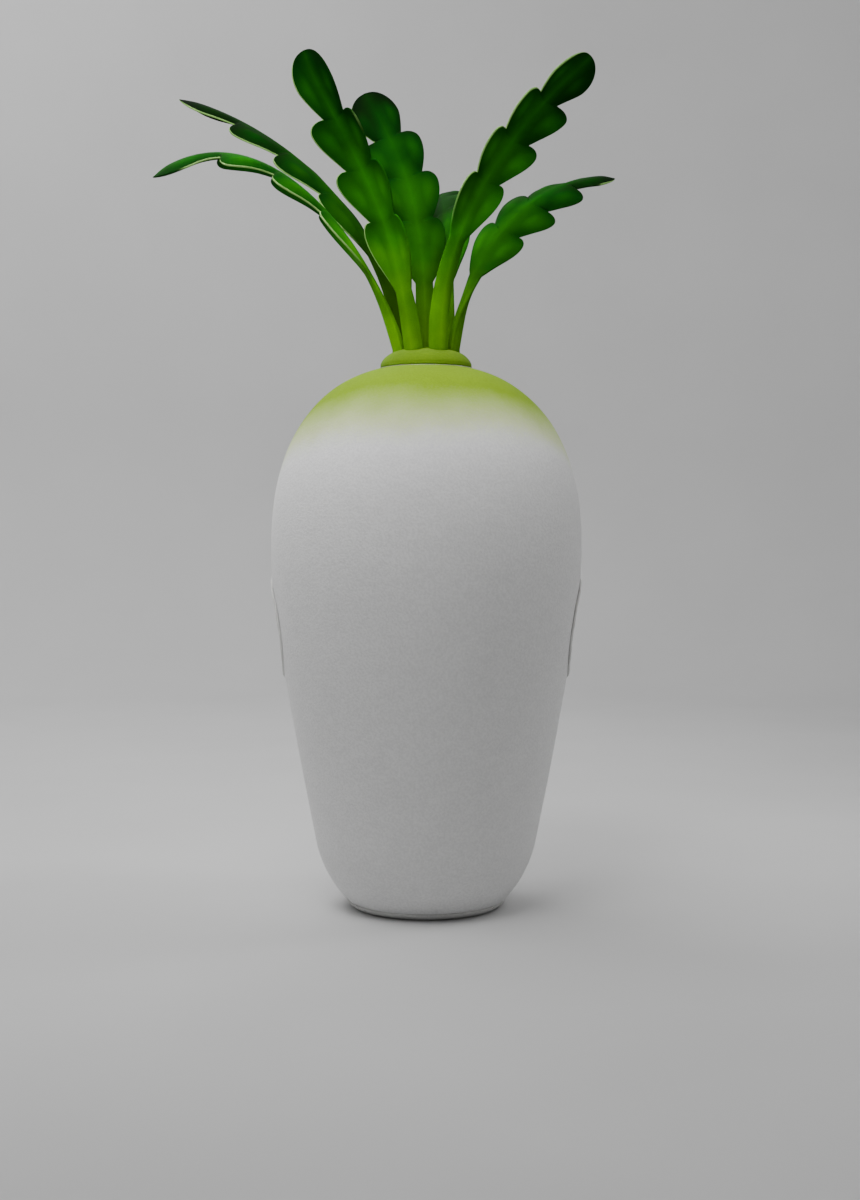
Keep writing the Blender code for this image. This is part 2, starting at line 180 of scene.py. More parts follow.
# Where along the blade a lobe ends, and half its width at its start and at its widest. The tip is last.
Lobe = namedtuple("Lobe", "end notch peak")
LOBES = (
    Lobe(0.28, 0.019, 0.053),
    Lobe(0.50, 0.034, 0.065),
    Lobe(0.72, 0.038, 0.065),
    Lobe(1.00, 0.030, 0.050),
)
TIP = len(LOBES) - 1
TIP_PEAK_SHARE = 0.50
TIP_BLUNTNESS = 2.5
LOBE_PEAK_SHARE = 0.72
# A blade's fall is its fold where it is as wide as FOLD_WIDTH on each side of its rib
FOLD_WIDTH = 0.062
# The cut edges that face this way show pale bare foam: partly the foam's own colour where the spray missed,
# partly a painted highlight where the light from that side catches them
BARE_LIT_EDGE_SIDE = Vector((-0.76, -0.46, -0.46))

ZIP_LOW_LEVEL = 0.045
ZIP_TOP_LEVEL = 1.150
ZIP_PITCH = 0.0034
TAPE_PITCH = 0.012
TAPE_EDGES = (0.0010, 0.0148)
TOOTH_HALF = (0.0024, 0.0012, 0.0011)
STOP_HALF = (0.0014, 0.0030, 0.0014)
SLIDER_STATION = -26
SLIDER_OUTLINE = (
    (-0.0052, -0.011), (-0.0040, -0.0125), (0.0040, -0.0125), (0.0052, -0.011), (0.0058, 0.0),
    (0.0070, 0.009), (0.0058, 0.012), (0.0018, 0.0125), (0.0, 0.009), (-0.0018, 0.0125),
    (-0.0058, 0.012), (-0.0070, 0.009), (-0.0058, 0.0),
)
RIB_PITCH = 0.0026

STRAP_WIDTH = 0.045
STRAP_OFFSET = 0.115
STRAP_LEVEL = 0.880
STRAP_ANCHOR = 0.070
STRAP_SAG = 0.150
STRAP_THICKNESS = 0.0022
STRAP_TO_WALL = 0.0030

CAMERA_FIELD = 41.2
CAMERA_SENSOR = 36
CAMERA_DISTANCE = 3.67
CAMERA_LEVEL = 0.837
CAMERA_TILT = 2.08
CAMERA_TURN = 0.14

STUDIO_RADIUS = 6.5
STUDIO_CURVE = 1.6
STUDIO_HEIGHT = 7.5
STUDIO_SIDES = 96

# Size in metres, power in watts, and spread of the beam in degrees
Lamp = namedtuple("Lamp", "name place target size power spread")
LAMPS = (
    Lamp("key", (-0.42, -1.0, 2.60), (0.07, 0.0, 0.8), (1.6, 0.9), 23, 180),
    Lamp("upper key", (-0.42, -1.2, 2.70), (0.07, 0.0, 1.40), (1.0, 0.6), 2.8, 50),
    Lamp("top", (-0.9, 1.2, 3.8), (-0.7, 1.2, 0.0), (4.4, 2.6), 58, 180),
    Lamp("left rim", (-2.2, 0.5, 2.9), (0.0, 0.0, 1.1), (0.8, 1.6), 12, 180),
    Lamp("right rim", (2.3, 0.3, 2.8), (0.1, 0.0, 1.1), (0.8, 1.6), 20, 180),
)

# Lamps that shine on the studio's wall: name, place round it in degrees from the front, and power
WALL_LAMPS = (
    ("wall back left", 215, 135),
    ("wall back right", 155, 42),
    ("wall right", 90, 12),
    ("wall front", 0, 7),
    ("wall left", 270, 20),
)
WALL_LAMP_GAP = 3.2
WALL_LAMP_LEVEL = 5.6
WALL_LAMP_TARGET = 2.0
WALL_LAMP_SIZE = (3.0, 1.5)


# Small helpers


def smooth_step(low, high, value):
    t = min(1.0, max(0.0, (value - low) / (high - low)))
    return t * t * (3 - 2 * t)


def bump_at(centre, width, value):
    """A rounded hill of height 1 at the centre."""
    return math.exp(-(((value - centre) / width) ** 2))


def bezier(p0, p1, p2, p3, t):
    s = 1 - t
    return p0 * s**3 + p1 * (3 * s * s * t) + p2 * (3 * s * t * t) + p3 * t**3


def grid_faces(rows, columns, close_columns=False, offset=0):
    """Quads between rows of points; close_columns joins each row's last point to its first."""
    faces = []
    last = columns if close_columns else columns - 1
    for i in range(rows - 1):
        for j in range(last):
            k = (j + 1) % columns
            a = offset + i * columns
            b = a + columns
            faces.append((a + j, a + k, b + k, b + j))
    return faces


def turns(count):
    """Even angles round the axis."""
    return [2 * math.pi * i / count for i in range(count)]


def circle(radius, level, count, centre=AXIS):
    return [centre + Vector((radius * math.cos(a), radius * math.sin(a), level)) for a in turns(count)]


def new_object(name, data):
    obj = bpy.data.objects.new(name, data)
    bpy.context.scene.collection.objects.link(obj)
    return obj


def piece(name, points, faces, material, slot, replaces=()):
    """A smooth mesh that rides on the body."""
    mesh = bpy.data.meshes.new(name)
    mesh.from_pydata([tuple(p) for p in points], [], faces)
    mesh.materials.append(material)
    bm = bmesh.new()
    bm.from_mesh(mesh)
    bmesh.ops.recalc_face_normals(bm, faces=bm.faces[:])
    bm.to_mesh(mesh)
    bm.free()
    mesh.shade_smooth()
    obj = new_object(name, mesh)
    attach(obj, BODY)
    if replaces:
        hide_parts(*replaces)
    return obj


def apply_modifiers(obj):
    """Leaves the object with its finished mesh and no modifiers."""
    graph = bpy.context.evaluated_depsgraph_get()
    mesh = bpy.data.meshes.new_from_object(obj.evaluated_get(graph))
    obj.modifiers.clear()
    obj.data = mesh


def thicken(obj, thickness):
    """Gives a surface its thickness, half of it on each side."""
    solidify = obj.modifiers.new("Thickness", "SOLIDIFY")
    solidify.thickness = thickness
    solidify.offset = 0.0
    solidify.use_even_offset = True
    apply_modifiers(obj)


def merge_close(obj):
    """Joins points that lie on each other, such as those at a pole, and turns all faces outward."""
    bm = bmesh.new()
    bm.from_mesh(obj.data)
    bmesh.ops.remove_doubles(bm, verts=bm.verts[:], dist=0.00002)
    bmesh.ops.recalc_face_normals(bm, faces=bm.faces[:])
    bm.to_mesh(obj.data)
    bm.free()


def ring_piece(name, points, columns, *looks):
    """A piece from rings of points; looks are its material, a slot name that is not used, and the nodes it
    replaces.
    """
    faces = grid_faces(len(points) // columns, columns, close_columns=True)
    obj = piece(name, points, faces, *looks)
    merge_close(obj)
    return obj


def put_tube(points, faces, rows):
    """Adds a closed tube through rows of points, with a face over each end."""
    start = len(points)
    columns = len(rows[0])
    for row in rows:
        points += row
    faces += grid_faces(len(rows), columns, close_columns=True, offset=start)
    for first in (start, len(points) - columns):
        faces.append(tuple(first + i for i in range(columns)))


def put_box(points, faces, centre, half, frame_axes):
    """Adds a box with bevelled long edges to a list of points and faces."""
    right, ahead, up = frame_axes
    ring = ((-1, -0.6), (-0.6, -1), (0.6, -1), (1, -0.6), (1, 0.6), (0.6, 1), (-0.6, 1), (-1, 0.6))
    rows = []
    for end, shrink in ((-1, 0.7), (-0.75, 1), (0.75, 1), (1, 0.7)):
        place = centre + ahead * (end * half[1])
        rows.append([place + right * (x * half[0] * shrink) + up * (z * half[2] * shrink) for x, z in ring])
    put_tube(points, faces, rows)


# The body's surface


def body_outline(dome_count, side_count, base_count):
    """(radius, height) points down the outside of the cover, from the axis to the hem."""
    points = []
    for i in range(dome_count + 1):
        a = math.pi / 2 * i / dome_count
        radius = BODY_RADIUS * math.sin(a) ** (2 / DOME_FULLNESS)
        rise = (DOME_TOP - WIDEST_LEVEL) * max(0.0, math.cos(a)) ** (2 / DOME_FULLNESS)
        points.append(Vector((radius, WIDEST_LEVEL + rise)))
    side = (
        Vector((BODY_RADIUS, WIDEST_LEVEL)),
        Vector((BODY_RADIUS, BELLY_LEVEL)),
        Vector((TAPER_RADIUS + TAPER_SLOPE * SIDE_HANDLE, TAPER_LEVEL + SIDE_HANDLE)),
        Vector((TAPER_RADIUS, TAPER_LEVEL)),
    )
    base = (
        side[3],
        Vector((TAPER_RADIUS - TAPER_SLOPE * BASE_HANDLE, TAPER_LEVEL - BASE_HANDLE)),
        Vector((HEM_RADIUS + HEM_HANDLE[0], HEM_LEVEL + HEM_HANDLE[1])),
        Vector((HEM_RADIUS, HEM_LEVEL)),
    )
    for handles, count in ((side, side_count), (base, base_count)):
        points += [bezier(*handles, i / count) for i in range(1, count + 1)]
    return points


def outline_normals(points):
    normals = []
    last = len(points) - 1
    for i in range(last + 1):
        along = points[min(i + 1, last)] - points[max(i - 1, 0)]
        normals.append(Vector((-along.y, along.x)).normalized())
    normals[0] = Vector((0, 1))
    return normals


FINE_OUTLINE = body_outline(120, 140, 60)
FINE_NORMALS = outline_normals(FINE_OUTLINE)


def outline_at(level):
    """The cover's radius and outward direction at a level."""
    for i in range(1, len(FINE_OUTLINE)):
        below = FINE_OUTLINE[i]
        if below.y <= level:
            above = FINE_OUTLINE[i - 1]
            t = min(1.0, (above.y - level) / (above.y - below.y))
            return above.lerp(below, t).x, FINE_NORMALS[i]
    return FINE_OUTLINE[-1].x, FINE_NORMALS[-1]


def surface_point(angle, level):
    """A point on the cover, angle in radians from +X."""
    radius, outward = outline_at(level)
    return AXIS + Vector((radius * math.cos(angle), radius * math.sin(angle), level))


def dome_level(radius):
    share = 1 - (radius / BODY_RADIUS) ** DOME_FULLNESS
    return WIDEST_LEVEL + (DOME_TOP - WIDEST_LEVEL) * share ** (1 / DOME_FULLNESS)


# Materials


class Graph:
    """A Principled material and short ways to add nodes to it."""

    def __init__(self, name, colour, roughness, **sockets):
        """Sockets are set by name, with _ for a space."""
        self.material = bpy.data.materials.new(name)
        self.material.use_nodes = True
        self.material.diffuse_color = (*colour, 1)
        self.tree = self.material.node_tree
        self.shader = self.tree.nodes["Principled BSDF"]
        self.shader.inputs["Base Color"].default_value = (*colour, 1)
        self.shader.inputs["Roughness"].default_value = roughness
        for socket, value in sockets.items():
            self.shader.inputs[socket.replace("_", " ")].default_value = value
        self.place = self.add("ShaderNodeTexCoord").outputs["Object"]

    def add(self, kind, **settings):
        node = self.tree.nodes.new(kind)
        for key, value in settings.items():
            setattr(node, key, value)
        return node

    def link(self, out, into):
        self.tree.links.new(out, into)

    def set(self, socket, value):
        if isinstance(value, bpy.types.NodeSocket):
            self.link(value, socket)
        else:
            socket.default_value = value

    def math(self, operation, a, b=0.0, c=0.0, clamp=False):
        node = self.add("ShaderNodeMath", operation=operation, use_clamp=clamp)
        for socket, value in zip(node.inputs, (a, b, c)):
            self.set(socket, value)
        return node.outputs[0]

    def attribute(self, name):
        return self.add("ShaderNodeAttribute", attribute_name=name).outputs["Fac"]

    def scaled(self, vector, scale):
        node = self.add("ShaderNodeMapping")
        self.link(vector, node.inputs["Vector"])
        node.inputs["Scale"].default_value = scale
        return node.outputs["Vector"]

    def noise(self, vector, scale, detail=2.0, roughness=0.5):
        node = self.add("ShaderNodeTexNoise")
        self.link(vector, node.inputs["Vector"])
        node.inputs["Scale"].default_value = scale
        node.inputs["Detail"].default_value = detail
        node.inputs["Roughness"].default_value = roughness
        return node.outputs["Fac"]

    def ramp(self, value, *stops):
        node = self.add("ShaderNodeValToRGB")
        self.link(value, node.inputs["Fac"])
        elements = node.color_ramp.elements
        while len(elements) < len(stops):
            elements.new(0.5)
        for element, (position, colour) in zip(elements, stops):
            element.position = position
            element.color = (*colour, 1)
        return node.outputs["Color"]

    def mix(self, factor, a, b, blend="MIX"):
        node = self.add("ShaderNodeMix", data_type="RGBA", blend_type=blend)
        self.set(node.inputs["Factor"], factor)
        self.set(node.inputs["A"], a if isinstance(a, bpy.types.NodeSocket) else (*a, 1))
        self.set(node.inputs["B"], b if isinstance(b, bpy.types.NodeSocket) else (*b, 1))
        return node.outputs["Result"]

    def grey(self, factor, low, high):
        """A grey between two levels, to multiply a colour by."""
        return self.mix(factor, (low,) * 3, (high,) * 3)

    def times(self, colour, *others):
        """Colours multiplied together."""
        for other in others:
            colour = self.mix(1.0, colour, other, "MULTIPLY")
        return colour

    def range(self, value, low, high, to_low=0.0, to_high=1.0):
        node = self.add("ShaderNodeMapRange", interpolation_type="SMOOTHSTEP")
        self.set(node.inputs["Value"], value)
        spans = {"From Min": low, "From Max": high, "To Min": to_low, "To Max": to_high}
        for name, number in spans.items():
            node.inputs[name].default_value = number
        return node.outputs["Result"]

    def colour(self, value):
        self.link(value, self.shader.inputs["Base Color"])

    def bump(self, *layers):
        """Adds bumps in turn; each layer is (height, distance, strength)."""
        normal = None
        for height, distance, strength in layers:
            node = self.add("ShaderNodeBump")
            node.inputs["Distance"].default_value = distance
            node.inputs["Strength"].default_value = strength
            self.link(height, node.inputs["Height"])
            if normal:
                self.link(normal, node.inputs["Normal"])
            normal = node.outputs["Normal"]
        self.link(normal, self.shader.inputs["Normal"])


def add_fleece_pile(graph):
    """Short brushed pile: a fine nap over soft blotches."""
    nap = graph.noise(graph.scaled(graph.place, (1, 1, 0.45)), 700, detail=3, roughness=0.6)
    tufts = graph.range(graph.noise(graph.place, 190, detail=3), 0.32, 0.68)
    lay = graph.noise(graph.scaled(graph.place, (1, 1, 2.4)), 22, detail=4)
    graph.bump((lay, 0.0022, 0.20), (tufts, 0.0009, 0.40), (nap, 0.0006, 0.50))
    return nap, tufts, lay


def make_cover_material():
    """White fleece, with a green that deepens up the shoulder and flattens the pile's sheen."""
    graph = Graph(
        "fleece cover", (0.8, 0.8, 0.78), 0.92, Sheen_Weight=PLAIN_SHEEN, Sheen_Roughness=0.45,
        Specular_IOR_Level=0.2,
    )
    nap, tufts, lay = add_fleece_pile(graph)
    level = graph.add("ShaderNodeSeparateXYZ")
    graph.link(graph.place, level.inputs[0])
    drift = graph.noise(graph.place, 7, detail=3)
    past_front = graph.range(level.outputs["Y"], *SPRAY_DROP_DEPTHS, 0.0, SPRAY_DROP)
    uneven = graph.math("MULTIPLY_ADD", drift, SPRAY_UNEVENNESS, past_front)
    height = graph.math("ADD", level.outputs["Z"], uneven)
    height = graph.math("ADD", height, graph.math("MULTIPLY", tufts, SPRAY_GRAIN))
    per_metre = 1 / (SPRAY_HIGH - SPRAY_LOW)
    climb = graph.math("MULTIPLY_ADD", height, per_metre, -SPRAY_LOW * per_metre, clamp=True)
    sprayed = graph.ramp(
        climb,
        (0.00, (1.00, 1.00, 1.00)),
        (0.15, (0.94, 0.97, 0.88)),
        (0.35, (0.75, 0.84, 0.48)),
        (0.55, (0.54, 0.68, 0.24)),
        (0.75, (0.38, 0.54, 0.09)),
        (0.95, (0.25, 0.42, 0.001)),
    )
    sheen = graph.range(climb, 0.4, 1.0, PLAIN_SHEEN, SPRAYED_SHEEN)
    graph.link(sheen, graph.shader.inputs["Sheen Weight"])
    white = graph.mix(lay, (0.80, 0.80, 0.80), (0.88, 0.88, 0.875))
    graph.colour(graph.times(white, sprayed, graph.grey(tufts, 0.93, 1.03), graph.grey(nap, 0.88, 1.06)))
    return graph.material


def make_collar_material():
    graph = Graph(
        "crown collar", (0.16, 0.30, 0.01), 0.9, Sheen_Weight=SPRAYED_SHEEN, Sheen_Roughness=0.45,
        Specular_IOR_Level=0.2,
    )
    nap, tufts, lay = add_fleece_pile(graph)
    green = graph.mix(lay, (0.104, 0.214, 0.0005), (0.148, 0.272, 0.002))
    graph.colour(graph.times(green, graph.grey(tufts, 0.92, 1.04), graph.grey(nap, 0.84, 1.08)))
    return graph.material


def make_leaf_material(name, shade):
    """Sprayed foam: bright at the stalk, deeper green towards the tip. Painted highlight on the lobes and
    the rib, lighter over their raised padding, and painted shade in the creases between the lobes.
    """
    graph = Graph(name, (0.05, 0.26, 0.02), 0.75, Specular_IOR_Level=0.03)
    rim = graph.attribute("rim")
    cloud = graph.noise(graph.place, 14, detail=4)
    speckle = graph.noise(graph.place, 520, detail=2)
    reach = graph.math("ADD", graph.attribute("along"), graph.math("MULTIPLY_ADD", cloud, 0.16, -0.08))
    sprayed = graph.ramp(
        reach,
        (0.00, (0.110, 0.310, 0.001)),
        (0.16, (0.075, 0.280, 0.001)),
        (0.34, (0.014, 0.165, 0.002)),
        (0.52, (0.005, 0.095, 0.001)),
        (0.74, (0.003, 0.048, 0.001)),
        (1.00, (0.001, 0.022, 0.001)),
    )
    # A lighter green for the rib and the middle of each lobe: painted highlight on their raised padding
    light = graph.ramp(
        reach,
        (0.00, (0.180, 0.440, 0.002)),
        (0.35, (0.046, 0.330, 0.003)),
        (0.70, (0.011, 0.200, 0.002)),
        (1.00, (0.008, 0.100, 0.002)),
    )
    # Lighter along the rib and on each lobe's padded middle: painted highlight
    near_rib = graph.math("SUBTRACT", 1.0, graph.attribute("across"), clamp=True)
    rib_highlight = graph.math("MULTIPLY", graph.math("POWER", near_rib, 2.2), 0.65)
    lobe = graph.math("MULTIPLY", graph.attribute("lobe"), 0.55)
    colour = graph.mix(graph.math("MAXIMUM", rib_highlight, lobe), sprayed, light)
    # Darker along the creases between the lobes: painted shade in the creases
    recess_shade = graph.math("MULTIPLY", graph.attribute("valley"), 0.42)
    colour = graph.mix(recess_shade, colour, (0.001, 0.020, 0.001))
    patches = graph.range(graph.noise(graph.place, 6.5, detail=3), 0.36, 0.64)
    patchy = graph.mix(patches, (0.62, 0.66, 0.6), (1.3, 1.25, 1.3))
    # Each leaf's own brightness scales its whole colour: painted light and shade for how brightly that leaf
    # is lit
    colour = graph.times(colour, graph.grey(speckle, 0.78, 1.2), patchy, (shade, shade, shade))
    # Pale bare foam on the cut edges: partly the foam's own colour, partly a painted highlight on the edges
    # that face the light
    edge = graph.mix(cloud, (0.10, 0.28, 0.04), (0.34, 0.54, 0.19))
    bare = graph.range(graph.math("MULTIPLY_ADD", cloud, 0.5, rim), 0.55, 1.0)
    graph.colour(graph.mix(graph.math("MULTIPLY", rim, bare), colour, edge))
    foam = graph.noise(graph.place, 260, detail=3)
    graph.bump((foam, 0.0010, 0.35), (speckle, 0.0004, 0.30))
    return graph.material


def make_foam_material():
    """Bare foam with open cells."""
    graph = Graph("bare foam", (0.62, 0.60, 0.52), 0.95, Specular_IOR_Level=0.1)
    voronoi = graph.add("ShaderNodeTexVoronoi", feature="F1")
    graph.link(graph.place, voronoi.inputs["Vector"])
    voronoi.inputs["Scale"].default_value = 420
    cells = voronoi.outputs["Distance"]
    base = graph.mix(graph.noise(graph.place, 9, detail=4), (0.52, 0.50, 0.42), (0.70, 0.68, 0.60))
    graph.colour(graph.times(base, graph.mix(cells, (1.1, 1.1, 1.1), (0.6, 0.58, 0.5))))
    graph.bump((cells, 0.0012, 0.6))
    return graph.material


def make_woven_material(name, colour, recess_shade, threads, roughness):
    """Plain weave: threads per metre over and under, from two waves, and painted shade in the gaps between
    the crossings.
    """
    graph = Graph(name, colour, roughness, Sheen_Weight=0.1)
    heights = []
    for direction in ("X", "Z"):
        wave = graph.add("ShaderNodeTexWave", wave_type="BANDS", bands_direction=direction)
        graph.link(graph.place, wave.inputs["Vector"])
        wave.inputs["Scale"].default_value = threads / 20
        wave.inputs["Distortion"].default_value = 0.4
        heights.append(wave.outputs["Fac"])
    weave = graph.math("MULTIPLY", *heights)
    wear = graph.noise(graph.place, 60, detail=3)
    # Darker in the gaps between the thread crossings: painted shade
    tone = graph.mix(weave, recess_shade, colour)
    graph.colour(graph.mix(graph.math("MULTIPLY", wear, 0.25), tone, colour))
    graph.bump((weave, 0.0006, 0.6), (wear, 0.0005, 0.2))
    return graph.material


def make_rib_material(name, colour):
    """Knitted binding with fine ribs square to its run, counted by its own attribute, and painted shade in
    the grooves between the ribs.
    """
    graph = Graph(name, colour, 0.9, Sheen_Weight=0.25, Specular_IOR_Level=0.2)
    ribs = graph.math("SINE", graph.math("MULTIPLY", graph.attribute("run"), 2 * math.pi / RIB_PITCH))
    height = graph.math("MULTIPLY_ADD", ribs, 0.5, 0.5)
    fluff = graph.noise(graph.place, 600, detail=2)
    # Darker in the grooves between the ribs: painted shade
    shade = graph.mix(height, tuple(0.8 * c for c in colour), colour)
    graph.colour(graph.times(shade, graph.grey(fluff, 0.9, 1.05)))
    graph.bump((height, 0.0006, 0.7), (fluff, 0.0004, 0.3))
    return graph.material


def make_metal_material():
    graph = Graph("slider metal", (0.62, 0.62, 0.60), 0.32, Metallic=0.95)
    scuff = graph.noise(graph.scaled(graph.place, (1, 1, 6)), 300, detail=4)
    graph.colour(graph.mix(scuff, (0.50, 0.50, 0.49), (0.72, 0.72, 0.70)))
    graph.link(graph.range(scuff, 0.3, 0.8, 0.22, 0.48), graph.shader.inputs["Roughness"])
    graph.bump((scuff, 0.0002, 0.3))
    return graph.material


def make_grained_material(name, low, high, grain, bump, roughness, **sockets):
    """A plain colour with a fine grain; grain is (scale, detail) and bump (distance, strength)."""
    scale, detail = grain
    graph = Graph(name, high, roughness, **sockets)
    height = graph.noise(graph.place, scale, detail=detail)
    graph.colour(graph.mix(height, low, high))
    graph.bump((height, *bump))
    return graph.material


# The body's pieces


def turn_angles():
    """Angles around the body, closer together where its seams and its zip are."""
    angles = set(turns(TURN_COUNT))
    for middle in (0.0, math.pi / 2, math.pi):
        for degrees in NEAR_SEAM_DEGREES:
            for sign in (-1, 1):
                angles.add((middle + sign * math.radians(degrees)) % (2 * math.pi))
        angles.add(middle)
    spaced = []
    for angle in sorted(angles):
        if not spaced or angle - spaced[-1] > math.radians(0.3):
            spaced.append(angle)
    return spaced


def cover_relief(angle, point):
    """How far the cover stands out from its plain outline: soft unevenness, seams and the zip's welts."""
    place = Vector((math.cos(angle) * point.x, math.sin(angle) * point.x, point.y))
    relief = BROAD_UNEVENNESS * noise.noise(place * 4.5)
    relief += SMALL_UNEVENNESS * noise.noise(place * 13 + Vector((5, 0, 0)))
    for middle in (0.0, math.pi):
        away = abs((angle - middle + math.pi) % (2 * math.pi) - math.pi) * point.x
        relief -= SEAM_DEPTH * bump_at(0, SEAM_WIDTH, away)
        pucker = math.sin(point.y * 2 * math.pi / PUCKER_PITCH + 3 * noise.noise(place * 20))
        relief += PUCKER_HEIGHT * pucker * bump_at(PUCKER_PLACE, PUCKER_WIDTH, away)
    away = abs(angle - math.pi / 2) * point.x
    near_zip = smooth_step(ZIP_LOW_LEVEL - 0.010, ZIP_LOW_LEVEL + 0.010, point.y)
    near_zip *= 1 - smooth_step(ZIP_TOP_LEVEL + 0.002, ZIP_TOP_LEVEL + 0.020, point.y)
    relief += WELT_HEIGHT * near_zip * bump_at(WELT_PLACE, WELT_WIDTH, away)
    relief -= ZIP_DIP * near_zip * (1 - smooth_step(0.008, 0.017, away))
    return relief


def armhole_cutter():
    """An oval bar along X, kept out of the render and deleted after use."""
    bm = bmesh.new()
    bmesh.ops.create_cone(bm, cap_ends=True, segments=72, radius1=1, radius2=1, depth=1.2)
    bm.transform(Matrix.Rotation(math.pi / 2, 4, "Y"))
    bm.transform(Matrix.Diagonal((1, ARMHOLE_HALF_WIDTH, ARMHOLE_HALF_HEIGHT, 1)))
    bm.transform(Matrix.Translation(AXIS + Vector((0, 0, ARMHOLE_LEVEL))))
    mesh = bpy.data.meshes.new("armholes")
    bm.to_mesh(mesh)
    bm.free()
    return new_object("armholes", mesh)


def cut_armholes(obj):
    cutter = armhole_cutter()
    boolean = obj.modifiers.new("Armholes", "BOOLEAN")
    boolean.operation = "DIFFERENCE"
    boolean.object = cutter
    boolean.solver = "EXACT"
    apply_modifiers(obj)
    bpy.data.objects.remove(cutter, do_unlink=True)
    obj.data.set_sharp_from_angle(angle=math.radians(40))


def inflate(obj, held, cap):
    """Fills cloth out with a short simulation; held(point) says which points are sewn or glued down."""
    scene = bpy.context.scene
    before = [v.co.copy() for v in obj.data.vertices]
    group = obj.vertex_groups.new(name="held")
    group.add([i for i, p in enumerate(before) if held(p - AXIS)], 1.0, "REPLACE")
    cloth = obj.modifiers.new("Cloth", "CLOTH")
    settings = cloth.settings
    settings.quality = 4
    settings.mass = 0.3
    settings.tension_stiffness = 15
    settings.compression_stiffness = 15
    settings.shear_stiffness = 5
    settings.bending_stiffness = 0.5
    settings.use_pressure = True
    settings.uniform_pressure_force = CLOTH_PRESSURE
    settings.vertex_group_mass = group.name
    settings.effector_weights.gravity = 0
    cloth.point_cache.frame_start = 1
    cloth.point_cache.frame_end = CLOTH_FRAMES
    for number in range(1, CLOTH_FRAMES + 1):
        scene.frame_set(number)
    after = obj.evaluated_get(bpy.context.evaluated_depsgraph_get()).data
    moves = [v.co - p for v, p in zip(after.vertices, before)]
    obj.modifiers.clear()
    obj.vertex_groups.clear()
    for vertex, p, move in zip(obj.data.vertices, before, moves):
        distance = move.length
        if distance > 1e-7:
            vertex.co = p + move * (cap * math.tanh(distance / cap) / distance)
    scene.frame_set(1)


def turned_rows(profile, angles, lift=None):
    """Points of a turned surface, row by row; lift(angle, row) moves a point outward and upward."""
    points = []
    for i, p in enumerate(profile):
        for angle in angles:
            outward, up = lift(angle, i) if lift else (0.0, 0.0)
            r = p.x + outward
            points.append(AXIS + Vector((r * math.cos(angle), r * math.sin(angle), p.y + up)))
    return points


def cover_is_held(p):
    """Where the cover is glued or sewn down: rims, armholes, zip, side seams and under the collar."""
    radius = math.hypot(p.x, p.y)
    if p.z < HELD_HEM or p.z > WIDEST_LEVEL and radius < COLLAR_RADIUS + HELD_CROWN:
        return True
    if p.y > 0 and abs(p.x) < HELD_ZIP or abs(p.y) < HELD_SEAM:
        return True
    oval = math.hypot(p.y / ARMHOLE_HALF_WIDTH, (p.z - ARMHOLE_LEVEL) / ARMHOLE_HALF_HEIGHT)
    return oval < HELD_OVAL


def build_cover(material):
    """The fleece: an outer skin filled out as cloth, closed with a plain inner side."""
    outer = body_outline(48, 56, 26)
    normals = outline_normals(outer)
    coarse = body_outline(14, 12, 10)
    coarse_normals = outline_normals(coarse)
    inner = [p - n * COVER_THICKNESS for p, n in zip(coarse, coarse_normals)][::-1]
    angles = turn_angles()

    def lift(angle, row):
        height = cover_relief(angle, outer[row])
        return normals[row].x * height, normals[row].y * height

    skin_points = turned_rows(outer, angles, lift)
    skin_faces = grid_faces(len(outer), len(angles), close_columns=True)
    skin = piece("cover_skin", skin_points, skin_faces, material, "fleece")
    inflate(skin, cover_is_held, COVER_SWELL)
    skin_points = [v.co.copy() for v in skin.data.vertices]
    bpy.data.objects.remove(skin, do_unlink=True)
    points = skin_points + turned_rows(inner, angles)
    obj = ring_piece("cover", points, len(angles), material, "fleece", ("fleece_cover",))
    cut_armholes(obj)


def build_foam(material):
    """The bare foam wall behind the cover, and the flat ring that it stands on."""
    coarse = body_outline(20, 18, 12)
    normals = outline_normals(coarse)
    depth = COVER_THICKNESS + FIT_GAP
    outer = [p - n * depth for p, n in zip(coarse, normals)]
    inner = [p - n * (depth + FOAM_WALL) for p, n in zip(coarse, normals)][::-1]
    rim = [
        Vector((RIM_OUTER + 0.001, 0.0012)),
        Vector((RIM_OUTER - 0.001, 0)),
        Vector((RIM_INNER + 0.001, 0)),
        Vector((RIM_INNER - 0.001, 0.0016)),
    ]
    sides = 96
    points = turned_rows(outer + rim + inner, turns(sides))
    obj = ring_piece("foam_wall", points, sides, material, "foam", ("foam_shell",))
    cut_armholes(obj)


def ring_band(name, rings, material, thickness):
    """A closed band from rings of points, thickened, with the run around it as an attribute."""
    points = [p for ring in rings for p in ring]
    obj = ring_piece(name, points, len(rings[0]), material, "fleece")
    thicken(obj, thickness)
    set_run(obj, rings[0])


def set_run(obj, ring):
    """Stores each point's distance along the ring it is nearest to."""
    lengths = [0.0]
    for a, b in zip(ring, ring[1:]):
        lengths.append(lengths[-1] + (b - a).length)
    tree = KDTree(len(ring))
    for i, p in enumerate(ring):
        tree.insert(p, i)
    tree.balance()
    attribute = obj.data.attributes.new("run", "FLOAT", "POINT")
    attribute.data.foreach_set("value", [lengths[tree.find(v.co)[1]] for v in obj.data.vertices])


def side_point(side, y, z, lift=0.0, depth=0.0):
    """A point over the armhole's oval: on the cover, lifted off it or pushed in along X."""
    radius, outward = outline_at(z)
    x = math.sqrt(radius * radius - y * y)
    normal = Vector((x / radius * outward.x, y / radius * outward.x, outward.y))
    local = Vector((x, y, z)) + normal * lift
    return AXIS + Vector((side * (local.x - depth), local.y, local.z))


